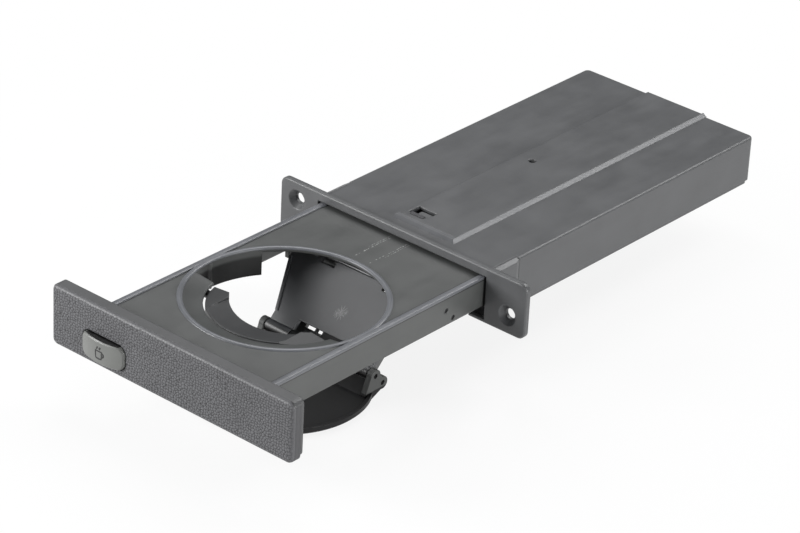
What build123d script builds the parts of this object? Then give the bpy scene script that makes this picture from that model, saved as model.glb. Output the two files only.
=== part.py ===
from build123d import *
from math import acos, cos, pi, radians, sin, tan
import os

# Pull-out cup holder for a slot in a car's dashboard, drawn pulled out with its cup support down.
# Origin: middle of the bezel's front face. X runs across, Y into the dashboard, Z up.

os.makedirs("parts", exist_ok=True)

# Drawer, the piece that everything else fits around
DRAWER_FRONT = -118.6
DRAWER_REAR = 42.0
DRAWER_TOP = 7.6
DRAWER_BOTTOM = -5.1
DRAWER_WALL = 1.8
DECK_TOP = 7.0
DECK_THICK = 1.5
EDGE_ROUND = 0.7
APRON_DROP = 3.2
RIB_PLACE = 20.0

# Cup ring in the drawer's deck
RING_Y = -64.0
RING_RADIUS = 38.1
RING_MARGIN = 3.0
BEAD_WIDTH = 1.2
BEAD_RISE = 0.5
SKIRT_THICK = 1.5
SKIRT_BOTTOM = -4.2
SKIRT_START = 146.0
FUNNEL_START = 194.0
FUNNEL_RADIUS = 30.0
FUNNEL_DROP = 2.6
FUNNEL_THICK = 1.5

# Sleeve that the drawer runs in
SLIDE_GAP = 0.4
TOP_GAP = 0.35
SLEEVE_LENGTH = 166.0
SLEEVE_WALL = 1.6
ROOF_THICK = 1.5
FLOOR_LEVEL = -9.7
FLOOR_THICK = 1.5
CHEEK_LENGTH = 16.2
CORNER_ROUND = 2.4
PANEL_LEFT = -11.5
PANEL_RIGHT = 18.5
PANEL_FRONT = 10.5
PANEL_RISE = 1.1
PANEL_WALL = 1.5
RAIL_WIDTH = 3.8
RAIL_GAP = 0.3
SLOT_CLEARANCE = 1.0
FLOOR_MARGIN = 0.8
RIB_COUNT = 3
PEEP_X = -3.4
PEEP_Y = 82.0
PEEP_RADIUS = 1.6
STOP_LEFT = 5.0
STOP_RIGHT = 12.0
STOP_THICK = 3.4

# Bezel that screws to the dashboard
BEZEL_WIDTH = 124.0
BEZEL_HEIGHT = 23.2
BEZEL_THICK = 2.2
BEZEL_CORNER = 3.4
BEZEL_EDGE = 0.5
MOUTH_GAP = 1.4
MOUTH_STEP = 0.3
SCREW_X = 53.4
SCREW_OFFSET = 4.0
SCREW_RADIUS = 2.2
SINK_RADIUS = 4.2
SEAT_RISE = 1.2
SEAT_WALL = 1.8
CHEEK_THICK = 2.3
CHEEK_SLOPE = 1.0
HOOK_CLEARANCE = 0.6

# Face panel and its push button
FACE_WIDTH = 120.0
FACE_HEIGHT = 23.5
FACE_BOTTOM = -11.2
FACE_THICK = 5.4
FACE_WALL = 2.3
FACE_CORNER = 2.2
FACE_EDGE = 0.9
RIB_THICK = 1.6
PEG_SIZE = 3.0
PEG_GAP = 0.1
PEG_HEIGHT = 1.0
CLOSED_GAP = 0.3
BUTTON_X = -32.7
BUTTON_Z = -4.4
BUTTON_WIDTH = 21.4
BUTTON_HEIGHT = 9.6
BUTTON_CORNER = 3.2
BUTTON_BULGE = 3.3
BUTTON_DOME = 26.0
BUTTON_EDGE = 0.5
STOP_GAP = 0.15
BUTTON_GAP = 0.25
BUTTON_FLANGE = 0.9
FACE_RIM = 1.4
PEG_PLACES = (-12.0, 12.0, 34.0)
SPRING_RADIUS = 2.2
SPRING_RISE = 1.9
SPRING_SEAT_DEPTH = 6.6
SPRING_WIRE = 0.32
SPRING_TURNS = 3
SPRING_POCKET = 0.8

# Folding cup support: two pairs of pivots joined by two links of equal length
LINK_LENGTH = 33.4
LINK_ANGLE = 45.0
LINK_THICK = 1.8
FRONT_PIVOT_Y = -20.6
FRONT_PIVOT_Z = 1.1
PIVOT_STEP_Y = 4.1
PIVOT_STEP_Z = -4.3
ROD_RADIUS = 1.0
ROD_FIT = 0.04
KNUCKLE_RADIUS = 2.3
KNUCKLE_INSIDE = 13.6
LINK_TOP_WIDTH = 66.0
LINK_FOOT_WIDTH = 51.6
REAR_LINK_WIDTH = 46.0
BORDER_WIDTH = 1.3
BORDER_RISE = 0.4
TOP_KNUCKLE_START = 21.0
NOTCH_X = 15.5
NOTCH_WIDTH = 7.0
REAR_KNUCKLE = 10.0
BASE_RADIUS = 34.0
BASE_DROP = 9.0
BASE_THICK = 1.8
BASE_RIM = 1.0
RIM_THICK = 1.3
BASE_EDGE = 0.8
EAR_THICK = 2.4
EAR_GAP = 0.4
EAR_RADIUS = 2.6
ROD_INSET = 0.4
FOLD_ANGLE = 43.5

# Spring flap that grips the cup at the front of the ring
FLAP_GAP = 0.8
FLAP_INNER_RADIUS = 26.0
FLAP_INNER_Y = -56.0
FLAP_TOP = 4.5
FLAP_LIP = 1.0
FLAP_BOTTOM = -1.2
FLAP_AXIS_Y = -75.0
FLAP_AXIS_Z = 1.2
FLAP_PIN_RADIUS = 1.1
FLAP_BOSS_RADIUS = 1.6
FLAP_END_X = 30.8
FLAP_LUG_THICK = 1.8
FLAP_WALL = 1.6
FLAP_LUG_GAP = 0.4
FLAP_LUG_RADIUS = 2.2
FLAP_FACET_X = 18.0

# Spring reel that pushes the drawer out, and the damper that slows it
REEL_X = -4.5
REEL_Y = 34.0
REEL_RADIUS = 5.2
REEL_WIDTH = 7.0
REEL_PIN_RADIUS = 1.2
BAND_THICK = 0.2
BAND_INSET = 0.3
REEL_EAR = 1.6
REEL_EAR_GAP = 0.5
REEL_HUB_RADIUS = 2.8
WINDOW_WIDTH = 9.0
WINDOW_FRONT = 15.0
WINDOW_LENGTH = 6.0
GEAR_MODULE = 0.8
GEAR_TEETH = 14
GEAR_THICK = 3.0
GEAR_Y = 32.0
DAMPER_RADIUS = 7.6
DAMPER_SHAFT = 1.6
DAMPER_BORE = 4.4
POT_WALL = 1.2

# Latch lever behind the button
LATCH_X = -36.0
LATCH_Y = -104.0
LATCH_THICK = 2.6
LATCH_TOP = -5.6
LATCH_PIN_RADIUS = 1.2
HOOK_REACH = 0.8
HOOK_REAR = 6.5
ARM_LENGTH = 11.2
POST_LEFT = 6.4
POST_RIGHT = 9.6
PIN_HEAD = 0.9

# Sizes that follow from the ones above
DRAWER_SIDE = RING_RADIUS + RING_MARGIN
SLEEVE_INSIDE = DRAWER_SIDE + SLIDE_GAP
SLEEVE_SIDE = SLEEVE_INSIDE + SLEEVE_WALL
ROOF_INSIDE = DRAWER_TOP + TOP_GAP
ROOF_TOP = ROOF_INSIDE + ROOF_THICK
FLOOR_BOTTOM = FLOOR_LEVEL - FLOOR_THICK
DECK_BOTTOM = DECK_TOP - DECK_THICK
TRAVEL = -DRAWER_FRONT - CLOSED_GAP
SPRING_SEAT = DRAWER_FRONT + SPRING_SEAT_DEPTH
FACE_FRONT = DRAWER_FRONT - FACE_THICK
REAR_PIVOT_Y = FRONT_PIVOT_Y + PIVOT_STEP_Y
REAR_PIVOT_Z = FRONT_PIVOT_Z + PIVOT_STEP_Z
FOOT_Y = FRONT_PIVOT_Y - LINK_LENGTH * cos(radians(LINK_ANGLE))
FOOT_Z = FRONT_PIVOT_Z - LINK_LENGTH * sin(radians(LINK_ANGLE))
REAR_FOOT_Y = FOOT_Y + PIVOT_STEP_Y
REAR_FOOT_Z = FOOT_Z + PIVOT_STEP_Z
BORE_RADIUS = ROD_RADIUS + ROD_FIT
SLOT_SIDE = BASE_RADIUS + SLOT_CLEARANCE
CHEEK_REAR = BEZEL_THICK + CHEEK_LENGTH
REEL_Z = ROOF_INSIDE + BAND_THICK - 0.1 - REEL_RADIUS
GEAR_RADIUS = GEAR_MODULE * GEAR_TEETH / 2
RAIL_INSIDE = SLEEVE_INSIDE - RAIL_WIDTH
RACK_LINE = RAIL_INSIDE - GEAR_MODULE
GEAR_X = -RACK_LINE + GEAR_RADIUS
GEAR_BOTTOM = FLOOR_LEVEL + 0.5
DAMPER_BOTTOM = DRAWER_BOTTOM + 0.1
EAR_IN = LINK_FOOT_WIDTH / 2 + EAR_GAP
EAR_OUT = EAR_IN + EAR_THICK
REEL_SIDE = REEL_WIDTH / 2 + REEL_EAR_GAP
PIN_REACH = REEL_SIDE + REEL_EAR
ROD_HALF = DRAWER_SIDE - ROD_INSET
FOOT_ROD_HALF = EAR_OUT - 0.3
BUTTON_INSIDE = FACE_FRONT + FACE_WALL + STOP_GAP
FACE_BACK = FACE_FRONT + FACE_WALL - 0.2


def block(x0, x1, y0, y1, z0, z1):
    """Box between two corners."""
    return Pos((x0 + x1) / 2, (y0 + y1) / 2, (z0 + z1) / 2) * Box(abs(x1 - x0), abs(y1 - y0), abs(z1 - z0))


def rod_x(x0, x1, y, z, radius):
    """Cylinder along X between two ends."""
    return Pos((x0 + x1) / 2, y, z) * Rot(0, 90, 0) * Cylinder(radius, abs(x1 - x0))


def rod_y(x, y0, y1, z, radius):
    """Cylinder along Y between two ends."""
    return Pos(x, (y0 + y1) / 2, z) * Rot(90, 0, 0) * Cylinder(radius, abs(y1 - y0))


def rod_z(x, y, z0, z1, radius):
    """Cylinder along Z between two ends."""
    return Pos(x, y, (z0 + z1) / 2) * Cylinder(radius, abs(z1 - z0))


def prism_x(points, x0, x1):
    """Outline of (y, z) points, filled and drawn out along X."""
    side = Plane(origin=(x0, 0, 0), x_dir=(0, 1, 0), z_dir=(1, 0, 0))
    return extrude(side * make_face(Polyline(*points, close=True)), x1 - x0)


def prism_z(points, z0, z1):
    """Outline of (x, y) points, filled and drawn up along Z."""
    return Pos(0, 0, z0) * extrude(make_face(Polyline(*points, close=True)), z1 - z0)


def both_sides(shape):
    """A piece and its mirror image across the middle of the drawer."""
    return shape + mirror(shape, Plane.YZ)


def turned_ring(points, start, sweep):
    """Profile of (radius, z) points turned about the cup ring's centre through part of a circle."""
    face = Plane.XZ * make_face(Polyline(*points, close=True))
    return Pos(0, RING_Y, 0) * Rot(0, 0, start) * revolve(face, Axis.Z, sweep)


def save(shape, node):
    """Write one piece under its node's name."""
    export_step(shape, f"parts/{node}.step")


def bezel():
    """Screwed flange with two countersunk holes, the drawer's mouth and two cheeks behind it."""
    plate = Plane.XZ * RectangleRounded(BEZEL_WIDTH, BEZEL_HEIGHT, BEZEL_CORNER)
    body = extrude(plate, -BEZEL_THICK)
    front = body.faces().sort_by(Axis.Y)[0]
    body = chamfer(front.edges(), BEZEL_EDGE)
    mouth_side = DRAWER_SIDE + MOUTH_GAP
    body -= block(-mouth_side, mouth_side, -1, BEZEL_THICK + 1, FLOOR_LEVEL - MOUTH_STEP, ROOF_INSIDE)
    body -= block(-SLOT_SIDE, SLOT_SIDE, -1, BEZEL_THICK + 1, -BEZEL_HEIGHT, 0)
    sink = SINK_RADIUS - SCREW_RADIUS
    for side in (-1, 1):
        x, z = side * SCREW_X, -side * SCREW_OFFSET
        body += rod_y(x, BEZEL_THICK - 0.5, BEZEL_THICK + SEAT_RISE, z, SCREW_RADIUS + SEAT_WALL)
        back = BEZEL_THICK + SEAT_RISE + 1
        profile = [(0, -1), (SINK_RADIUS + 1, -1), (SCREW_RADIUS, sink), (SCREW_RADIUS, back), (0, back)]
        drill = revolve(make_face(Polyline(*profile, close=True)), Axis.Y, 360)
        body -= Pos(x, 0, z) * drill
    outside = SLEEVE_INSIDE + CHEEK_THICK
    corners = [(SLEEVE_INSIDE, FLOOR_LEVEL), (SLEEVE_INSIDE, ROOF_TOP), (outside, ROOF_TOP - CHEEK_SLOPE),
               (outside, FLOOR_LEVEL)]
    section = Plane.XZ * make_face(Polyline(*corners, close=True))
    cheek = Pos(0, BEZEL_THICK - 0.5, 0) * extrude(section, -(CHEEK_LENGTH + 0.5))
    corners = [(outside + 1, CHEEK_REAR - 5), (outside + 1, CHEEK_REAR + 1), (SLEEVE_SIDE, CHEEK_REAR + 1),
               (SLEEVE_SIDE, CHEEK_REAR)]
    taper = prism_z(corners, FLOOR_LEVEL - 1, ROOF_TOP + 1)
    body += both_sides(cheek - taper)
    hook_rear = LATCH_Y - HOOK_REAR + TRAVEL
    body -= block(-SLEEVE_SIDE - CHEEK_THICK, -DRAWER_SIDE, BEZEL_THICK + 1.2, hook_rear,
                  LATCH_TOP - LATCH_THICK - HOOK_CLEARANCE, LATCH_TOP + HOOK_CLEARANCE)
    return body


def housing_cover():
    """Roof, sides and back of the sleeve, with a raised channel for the spring band."""
    body = block(-SLEEVE_SIDE, SLEEVE_SIDE, BEZEL_THICK, SLEEVE_LENGTH, FLOOR_LEVEL, ROOF_TOP)
    body = fillet(body.edges().filter_by(Axis.Z).sort_by(Axis.Y)[-2:], CORNER_ROUND)
    top = body.faces().sort_by(Axis.Z)[-1]
    body = fillet(top.edges().sort_by(Axis.Y)[1:], 1.0)
    panel_top = ROOF_TOP + PANEL_RISE
    width = PANEL_RIGHT - PANEL_LEFT
    middle = (PANEL_RIGHT + PANEL_LEFT) / 2
    length = SLEEVE_LENGTH - PANEL_FRONT
    centre = PANEL_FRONT + length / 2
    foot = Pos(middle, centre, ROOF_TOP - 1.0) * Rectangle(width, length)
    head = Pos(middle, centre, panel_top) * Rectangle(width - 2 * PANEL_RISE, length - 2 * PANEL_RISE)
    panel = loft([foot, head])
    body += panel & block(PANEL_LEFT, PANEL_RIGHT, 0, SLEEVE_LENGTH, ROOF_TOP - 1.0, panel_top)
    inside_rear = SLEEVE_LENGTH - SLEEVE_WALL
    body -= block(-SLEEVE_INSIDE, SLEEVE_INSIDE, 0, inside_rear, FLOOR_LEVEL - 1, ROOF_INSIDE)
    body -= block(PANEL_LEFT + PANEL_WALL, PANEL_RIGHT - PANEL_WALL, PANEL_FRONT + PANEL_WALL, inside_rear,
                  ROOF_INSIDE - 1, ROOF_INSIDE + PANEL_RISE)
    cheek = block(SLEEVE_INSIDE - 0.1, SLEEVE_SIDE + 1, 0, CHEEK_REAR + 0.1, FLOOR_LEVEL - 1, ROOF_TOP + 1)
    body -= both_sides(cheek)
    window = WINDOW_WIDTH / 2
    body -= block(REEL_X - window, REEL_X + window, WINDOW_FRONT, WINDOW_FRONT + WINDOW_LENGTH, ROOF_INSIDE - 1,
                  panel_top + 1)
    body -= rod_z(PEEP_X, PEEP_Y, ROOF_INSIDE - 1, panel_top + 1, PEEP_RADIUS)
    return body


def gEAR_OUTline(clearance):
    """Closed involute outline of the damper's pinion, thinned by a running clearance."""
    pressure = radians(20)
    base = GEAR_RADIUS * cos(pressure)
    tip = GEAR_RADIUS + GEAR_MODULE
    root = GEAR_RADIUS - 1.25 * GEAR_MODULE
    involute = tan(pressure) - pressure
    half_tooth = pi / (2 * GEAR_TEETH) + involute - clearance / (2 * GEAR_RADIUS)
    start = max(base, root)
    radii = [start + (tip - start) * step / 2 for step in range(3)]
    flank = []
    for radius in radii:
        roll = acos(min(1.0, base / radius))
        flank.append((radius, half_tooth - (tan(roll) - roll)))
    points = []
    for tooth in range(GEAR_TEETH):
        centre = 2 * pi * (tooth + 0.5) / GEAR_TEETH + pi
        points.append((root, centre - flank[0][1]))
        points += [(radius, centre - angle) for radius, angle in flank]
        points += [(radius, centre + angle) for radius, angle in reversed(flank)]
        points.append((root, centre + flank[0][1]))
    return [(radius * cos(angle), radius * sin(angle)) for radius, angle in points]


def rack_outline():
    """Toothed edge of the left rail as (x, y) points, one tooth centred on the pinion at rest."""
    pitch = pi * GEAR_MODULE
    tip, root = RACK_LINE - GEAR_MODULE, RAIL_INSIDE + 0.25 * GEAR_MODULE
    slope = tan(radians(20))
    first = int((BEZEL_THICK + 22 - GEAR_Y) / pitch)
    last = int((SLEEVE_LENGTH - 6 - GEAR_Y) / pitch)
    points = []
    for tooth in range(first, last + 1):
        y = GEAR_Y + tooth * pitch
        half_tip = pitch / 4 - slope * GEAR_MODULE
        half_root = pitch / 4 + slope * (root - RACK_LINE)
        points += [(-root, y - half_root), (-tip, y - half_tip)]
        points += [(-tip, y + half_tip), (-root, y + half_root)]
    points += [(-root - 1.2, points[-1][1]), (-root - 1.2, points[0][1])]
    return points


def housing_floor():
    """Floor of the sleeve: two rails for the drawer, a rack, and a slot for the cup support."""
    rear = SLEEVE_LENGTH - FLOOR_MARGIN
    side = SLEEVE_SIDE - 0.6
    body = block(-side, side, BEZEL_THICK, rear, FLOOR_BOTTOM, FLOOR_LEVEL)
    body = fillet(body.edges().filter_by(Axis.Z).sort_by(Axis.Y)[-2:], CORNER_ROUND)
    folded_reach = LINK_LENGTH * cos(radians(LINK_ANGLE - FOLD_ANGLE))
    closed_foot = REAR_PIVOT_Y + TRAVEL - folded_reach
    slot_end = closed_foot + KNUCKLE_RADIUS + 3.0
    slot = block(-SLOT_SIDE, SLOT_SIDE, 0, slot_end, FLOOR_BOTTOM - 1, FLOOR_LEVEL + 1)
    body -= fillet(slot.edges().filter_by(Axis.Z).sort_by(Axis.Y)[-2:], 6.0)
    rail_top = DRAWER_BOTTOM - RAIL_GAP
    rail_rear = SLEEVE_LENGTH - SLEEVE_WALL - 1
    rail = block(RAIL_INSIDE, SLEEVE_INSIDE - 0.1, CHEEK_REAR + 0.5, rail_rear, FLOOR_LEVEL, rail_top)
    body += both_sides(rail)
    body += prism_z(rack_outline(), FLOOR_LEVEL, GEAR_BOTTOM + GEAR_THICK + 0.3)
    step = (rear - slot_end) / (RIB_COUNT + 1)
    for number in range(RIB_COUNT):
        y = slot_end + step * (number + 1)
        body += block(-RAIL_INSIDE, RAIL_INSIDE, y, y + RIB_THICK, FLOOR_LEVEL, FLOOR_LEVEL + 0.4)
    return body


def spring_band():
    """Flat spring band, hooked in the roof's window and running back to the reel."""
    low = ROOF_INSIDE + BAND_THICK - 0.05
    high = low + BAND_THICK
    lip = ROOF_TOP + PANEL_RISE
    front = WINDOW_FRONT + 0.3
    back = front + BAND_THICK
    hook = lip + 0.1
    points = [(REEL_Y, low), (REEL_Y, high), (back, high), (back, hook + BAND_THICK),
              (front - 1.6, hook + BAND_THICK), (front - 1.6, hook), (front, hook), (front, low)]
    return prism_x(points, REEL_X - REEL_WIDTH / 2 + BAND_INSET, REEL_X + REEL_WIDTH / 2 - BAND_INSET)


def ring_skirt():
    """Bead all round the cup opening and the two skirts below it, before the opening is cut."""
    inside = RING_RADIUS - 1.5
    top = DECK_TOP + BEAD_RISE
    bead = [(inside, DECK_BOTTOM + 0.2), (inside, top), (RING_RADIUS + 0.6 * BEAD_WIDTH, top),
            (RING_RADIUS + BEAD_WIDTH, DECK_TOP), (RING_RADIUS + BEAD_WIDTH, DECK_BOTTOM + 0.2)]
    skirt = [(inside, SKIRT_BOTTOM), (inside, DECK_TOP - 0.5), (RING_RADIUS + SKIRT_THICK, DECK_TOP - 0.5),
             (RING_RADIUS + SKIRT_THICK, SKIRT_BOTTOM)]
    wall = turned_ring(skirt, SKIRT_START, FUNNEL_START + 6 - SKIRT_START)
    return turned_ring(bead, 0, 360) + both_sides(wall)


def ring_funnel():
    """Sloping ledge round the front of the opening, with the two lugs that carry the flap."""
    low = DECK_TOP - FUNNEL_DROP
    high = DECK_TOP - 0.2
    edge = RING_RADIUS + 0.9
    funnel = [(edge, high), (RING_RADIUS, high), (FUNNEL_RADIUS, low), (FUNNEL_RADIUS, low - 0.9),
              (FUNNEL_RADIUS + 0.6, low - FUNNEL_THICK + 0.2), (edge, high - FUNNEL_THICK + 0.4)]
    wall = turned_ring(funnel, FUNNEL_START, 540 - 2 * FUNNEL_START)
    lug_x = FLAP_END_X + FLAP_LUG_GAP
    lug = block(lug_x, lug_x + FLAP_LUG_THICK, FLAP_AXIS_Y - FLAP_LUG_RADIUS, FLAP_AXIS_Y + FLAP_LUG_RADIUS,
                FLAP_AXIS_Z, low + 0.5)
    lug += rod_x(lug_x, lug_x + FLAP_LUG_THICK, FLAP_AXIS_Y, FLAP_AXIS_Z, FLAP_LUG_RADIUS)
    lug -= rod_x(lug_x - 1, lug_x + 3, FLAP_AXIS_Y, FLAP_AXIS_Z, FLAP_PIN_RADIUS + ROD_FIT)
    rib_angle = radians(SKIRT_START + 34)
    rib_x, rib_y = RING_RADIUS * cos(rib_angle), RING_Y + RING_RADIUS * sin(rib_angle)
    rib = rod_z(rib_x, rib_y, SKIRT_BOTTOM, DECK_TOP - 0.6, 0.8)
    return wall + both_sides(lug + rib)


def peg(x, y0, y1, grow):
    """Square snap peg of the face panel, larger by a gap for its hole in the drawer."""
    half = PEG_SIZE / 2 + grow
    return block(x - half, x + half, y0, y1, PEG_HEIGHT - half, PEG_HEIGHT + half)


def drawer_tray():
    """Moulded drawer: deck with the cup ring, side walls, front and rear walls, lugs and bosses."""
    body = block(-DRAWER_SIDE, DRAWER_SIDE, DRAWER_FRONT, DRAWER_REAR, DRAWER_BOTTOM, DRAWER_TOP)
    top = body.faces().sort_by(Axis.Z)[-1]
    body = fillet(top.edges().filter_by(Axis.Y), EDGE_ROUND)
    inner = DRAWER_SIDE - DRAWER_WALL
    front_wall = DRAWER_FRONT + DRAWER_WALL
    body -= block(-inner, inner, front_wall, DRAWER_REAR - DRAWER_WALL, DRAWER_BOTTOM - 1, DECK_BOTTOM)
    body -= block(-inner, inner, DRAWER_FRONT - 1, DRAWER_REAR + 1, DECK_TOP, DRAWER_TOP + 1)
    apron = DRAWER_BOTTOM - APRON_DROP
    body += block(-inner, inner, DRAWER_FRONT, front_wall, apron, DRAWER_BOTTOM)
    body += ring_skirt()
    body -= rod_z(0, RING_Y, SKIRT_BOTTOM - 1, DECK_TOP + 2, RING_RADIUS)
    body += ring_funnel()
    lug_in = LINK_TOP_WIDTH / 2 + 1.3
    lug = block(lug_in, lug_in + 2, FRONT_PIVOT_Y - 4, REAR_PIVOT_Y + 3.2, DRAWER_BOTTOM, DECK_BOTTOM + 0.2)
    body += both_sides(lug)
    for y, z in ((FRONT_PIVOT_Y, FRONT_PIVOT_Z), (REAR_PIVOT_Y, REAR_PIVOT_Z)):
        body -= rod_x(-DRAWER_SIDE - 1, DRAWER_SIDE + 1, y, z, ROD_RADIUS)
    reel_front = REEL_Y - REEL_RADIUS - 0.6
    body -= block(REEL_X - REEL_SIDE, REEL_X + REEL_SIDE, reel_front, DRAWER_REAR + 1, REEL_Z - 1, DRAWER_TOP)
    for side in (-1, 1):
        x0, x1 = REEL_X + side * REEL_SIDE, REEL_X + side * (REEL_SIDE + REEL_EAR)
        body += block(x0, x1, REEL_Y - 3, REEL_Y + 3, REEL_Z - 2.6, DECK_BOTTOM + 0.2)
    body -= rod_x(REEL_X - REEL_SIDE - 2, REEL_X + REEL_SIDE + 2, REEL_Y, REEL_Z, REEL_PIN_RADIUS)
    stop_front = PANEL_FRONT + PANEL_WALL + 0.3
    body += block(STOP_LEFT, STOP_RIGHT, stop_front, stop_front + STOP_THICK, DECK_TOP - 0.2,
                  ROOF_INSIDE + PANEL_RISE - 0.4)
    body += rod_z(GEAR_X, GEAR_Y, DECK_BOTTOM - 1.2, DECK_BOTTOM + 0.2, DAMPER_RADIUS + POT_WALL)
    body -= rod_z(GEAR_X, GEAR_Y, DECK_BOTTOM - 2, DECK_BOTTOM - 0.2, DAMPER_RADIUS)
    rib_low = DECK_BOTTOM - 1.2
    rib = block(RIB_PLACE, RIB_PLACE + RIB_THICK, REAR_PIVOT_Y + 5, REEL_Y - 8, rib_low, DECK_TOP - 0.2)
    body += both_sides(rib)
    reach = BUTTON_WIDTH / 2 + 1.8
    body -= block(BUTTON_X - reach, BUTTON_X + reach, DRAWER_FRONT - 1, front_wall + 1, apron - 1,
                  BUTTON_Z + BUTTON_HEIGHT / 2 + 1.6)
    seat_side = SPRING_RADIUS + 1.0
    seat_low = LATCH_TOP + 0.4
    seat_left, seat_right = BUTTON_X - seat_side, BUTTON_X + seat_side
    body += block(seat_left, seat_right, SPRING_SEAT, SPRING_SEAT + 1.4, seat_low, DECK_BOTTOM + 0.2)
    body += rod_z(LATCH_X, LATCH_Y, LATCH_TOP + 0.3, DECK_BOTTOM + 0.2, LATCH_PIN_RADIUS + 1.4)
    body -= rod_z(LATCH_X, LATCH_Y, LATCH_TOP - 1, DECK_BOTTOM - 1.5, LATCH_PIN_RADIUS)
    for x in PEG_PLACES:
        body -= peg(x, DRAWER_FRONT - 1, front_wall + 1, PEG_GAP)
    return body


def face_panel():
    """Textured front panel, hollow behind, with ribs and pegs that meet the drawer."""
    outline = RectangleRounded(FACE_WIDTH, FACE_HEIGHT, FACE_CORNER)
    middle = FACE_BOTTOM + FACE_HEIGHT / 2
    body = Pos(0, FACE_FRONT, middle) * extrude(Plane.XZ * outline, -FACE_THICK)
    body = chamfer(body.faces().sort_by(Axis.Y)[0].edges(), FACE_EDGE)
    pocket_z0, pocket_z1 = FACE_BOTTOM + FACE_RIM, FACE_BOTTOM + FACE_HEIGHT - FACE_RIM
    half = FACE_WIDTH / 2 - FACE_RIM
    body -= block(-half, half, FACE_FRONT + FACE_WALL, DRAWER_FRONT + 1, pocket_z0, pocket_z1)
    for x in (-50, -16, 0, 16, 34, 50):
        body += block(x - RIB_THICK / 2, x + RIB_THICK / 2, FACE_BACK, DRAWER_FRONT, pocket_z0, pocket_z1)
    for x in PEG_PLACES:
        body += peg(x, FACE_BACK, DRAWER_FRONT + DRAWER_WALL + 0.8, 0)
    hole = button_outline(BUTTON_GAP)
    body -= Pos(0, FACE_FRONT - 1, 0) * extrude(hole, -(FACE_WALL + 2))
    return body


def button_outline(grow):
    """Rounded outline of the button's cap, larger by a gap."""
    return Plane.XZ * Pos(BUTTON_X, BUTTON_Z) * RectangleRounded(
        BUTTON_WIDTH + 2 * grow, BUTTON_HEIGHT + 2 * grow, BUTTON_CORNER + grow)


def push_button():
    """Domed button cap with a stop flange, a spring cup and a post that pushes the latch."""
    tip = FACE_FRONT - BUTTON_BULGE
    cap = Pos(0, tip, 0) * extrude(button_outline(0), -(BUTTON_INSIDE + BUTTON_FLANGE - tip))
    low, high = BUTTON_Z - BUTTON_HEIGHT, BUTTON_Z + BUTTON_HEIGHT
    cap = cap & rod_z(BUTTON_X, tip + BUTTON_DOME, low, high, BUTTON_DOME)
    rim_edges = cap.faces().sort_by(Axis.Y)[0].edges()
    cap = chamfer(rim_edges, BUTTON_EDGE)
    flange = RectangleRounded(BUTTON_WIDTH + 2.4, BUTTON_HEIGHT + 0.8, BUTTON_CORNER)
    cap += Pos(BUTTON_X, BUTTON_INSIDE, BUTTON_Z) * extrude(Plane.XZ * flange, -BUTTON_FLANGE)
    pocket = SPRING_POCKET + 0.1
    rear = BUTTON_INSIDE + 3
    cap -= rod_y(BUTTON_X, BUTTON_INSIDE - pocket, rear, BUTTON_Z + SPRING_RISE, SPRING_RADIUS + 0.6)
    post_rear = LATCH_Y - ARM_LENGTH - STOP_GAP
    cap += block(LATCH_X + POST_LEFT, LATCH_X + POST_RIGHT, BUTTON_INSIDE + 0.5, post_rear,
                 LATCH_TOP - LATCH_THICK + 0.4, LATCH_TOP - 0.4)
    return cap


def button_spring():
    """Coil spring between the button and its seat on the drawer."""
    start = BUTTON_INSIDE - SPRING_POCKET
    length = SPRING_SEAT - start - 0.6
    path = Helix(pitch=length / SPRING_TURNS, height=length, radius=SPRING_RADIUS)
    wire_plane = Plane(origin=path @ 0, z_dir=path % 0)
    coil = sweep(wire_plane * RegularPolygon(SPRING_WIRE, 4), path)
    return Pos(BUTTON_X, start + 0.25, BUTTON_Z + SPRING_RISE) * Rot(-90, 0, 0) * coil


def latch_lever():
    """Flat lever: the button pushes its inner arm, and its outer arm carries the hook."""
    low = LATCH_TOP - LATCH_THICK
    hook_tip = -SLEEVE_INSIDE - HOOK_REACH - LATCH_X
    inner_arm = [(-2.2, 0), (2.2, 0), (9.4, -10.0), (9.4, -ARM_LENGTH), (6.6, -ARM_LENGTH), (6.4, -9.6)]
    outer_arm = [(2.2, 0), (-2.2, 0), (-5.2, -6.4), (hook_tip, -9.2), (hook_tip, -10.4), (-3.6, -10.4),
                 (-3.2, -7.0)]
    body = prism_z(inner_arm, low, LATCH_TOP) + prism_z(outer_arm, low, LATCH_TOP)
    body += rod_z(0, 0, low, LATCH_TOP, 2.8)
    body -= rod_z(0, 0, low - 1, LATCH_TOP + 1, LATCH_PIN_RADIUS + ROD_FIT)
    return Pos(LATCH_X, LATCH_Y, 0) * body


def latch_pin():
    """Headed pin that holds the latch lever under the drawer's deck."""
    low = LATCH_TOP - LATCH_THICK
    return (rod_z(LATCH_X, LATCH_Y, low - 0.2, DECK_BOTTOM - 1.5, LATCH_PIN_RADIUS)
            + rod_z(LATCH_X, LATCH_Y, low - 0.5, low - 0.2, LATCH_PIN_RADIUS + PIN_HEAD))


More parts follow.
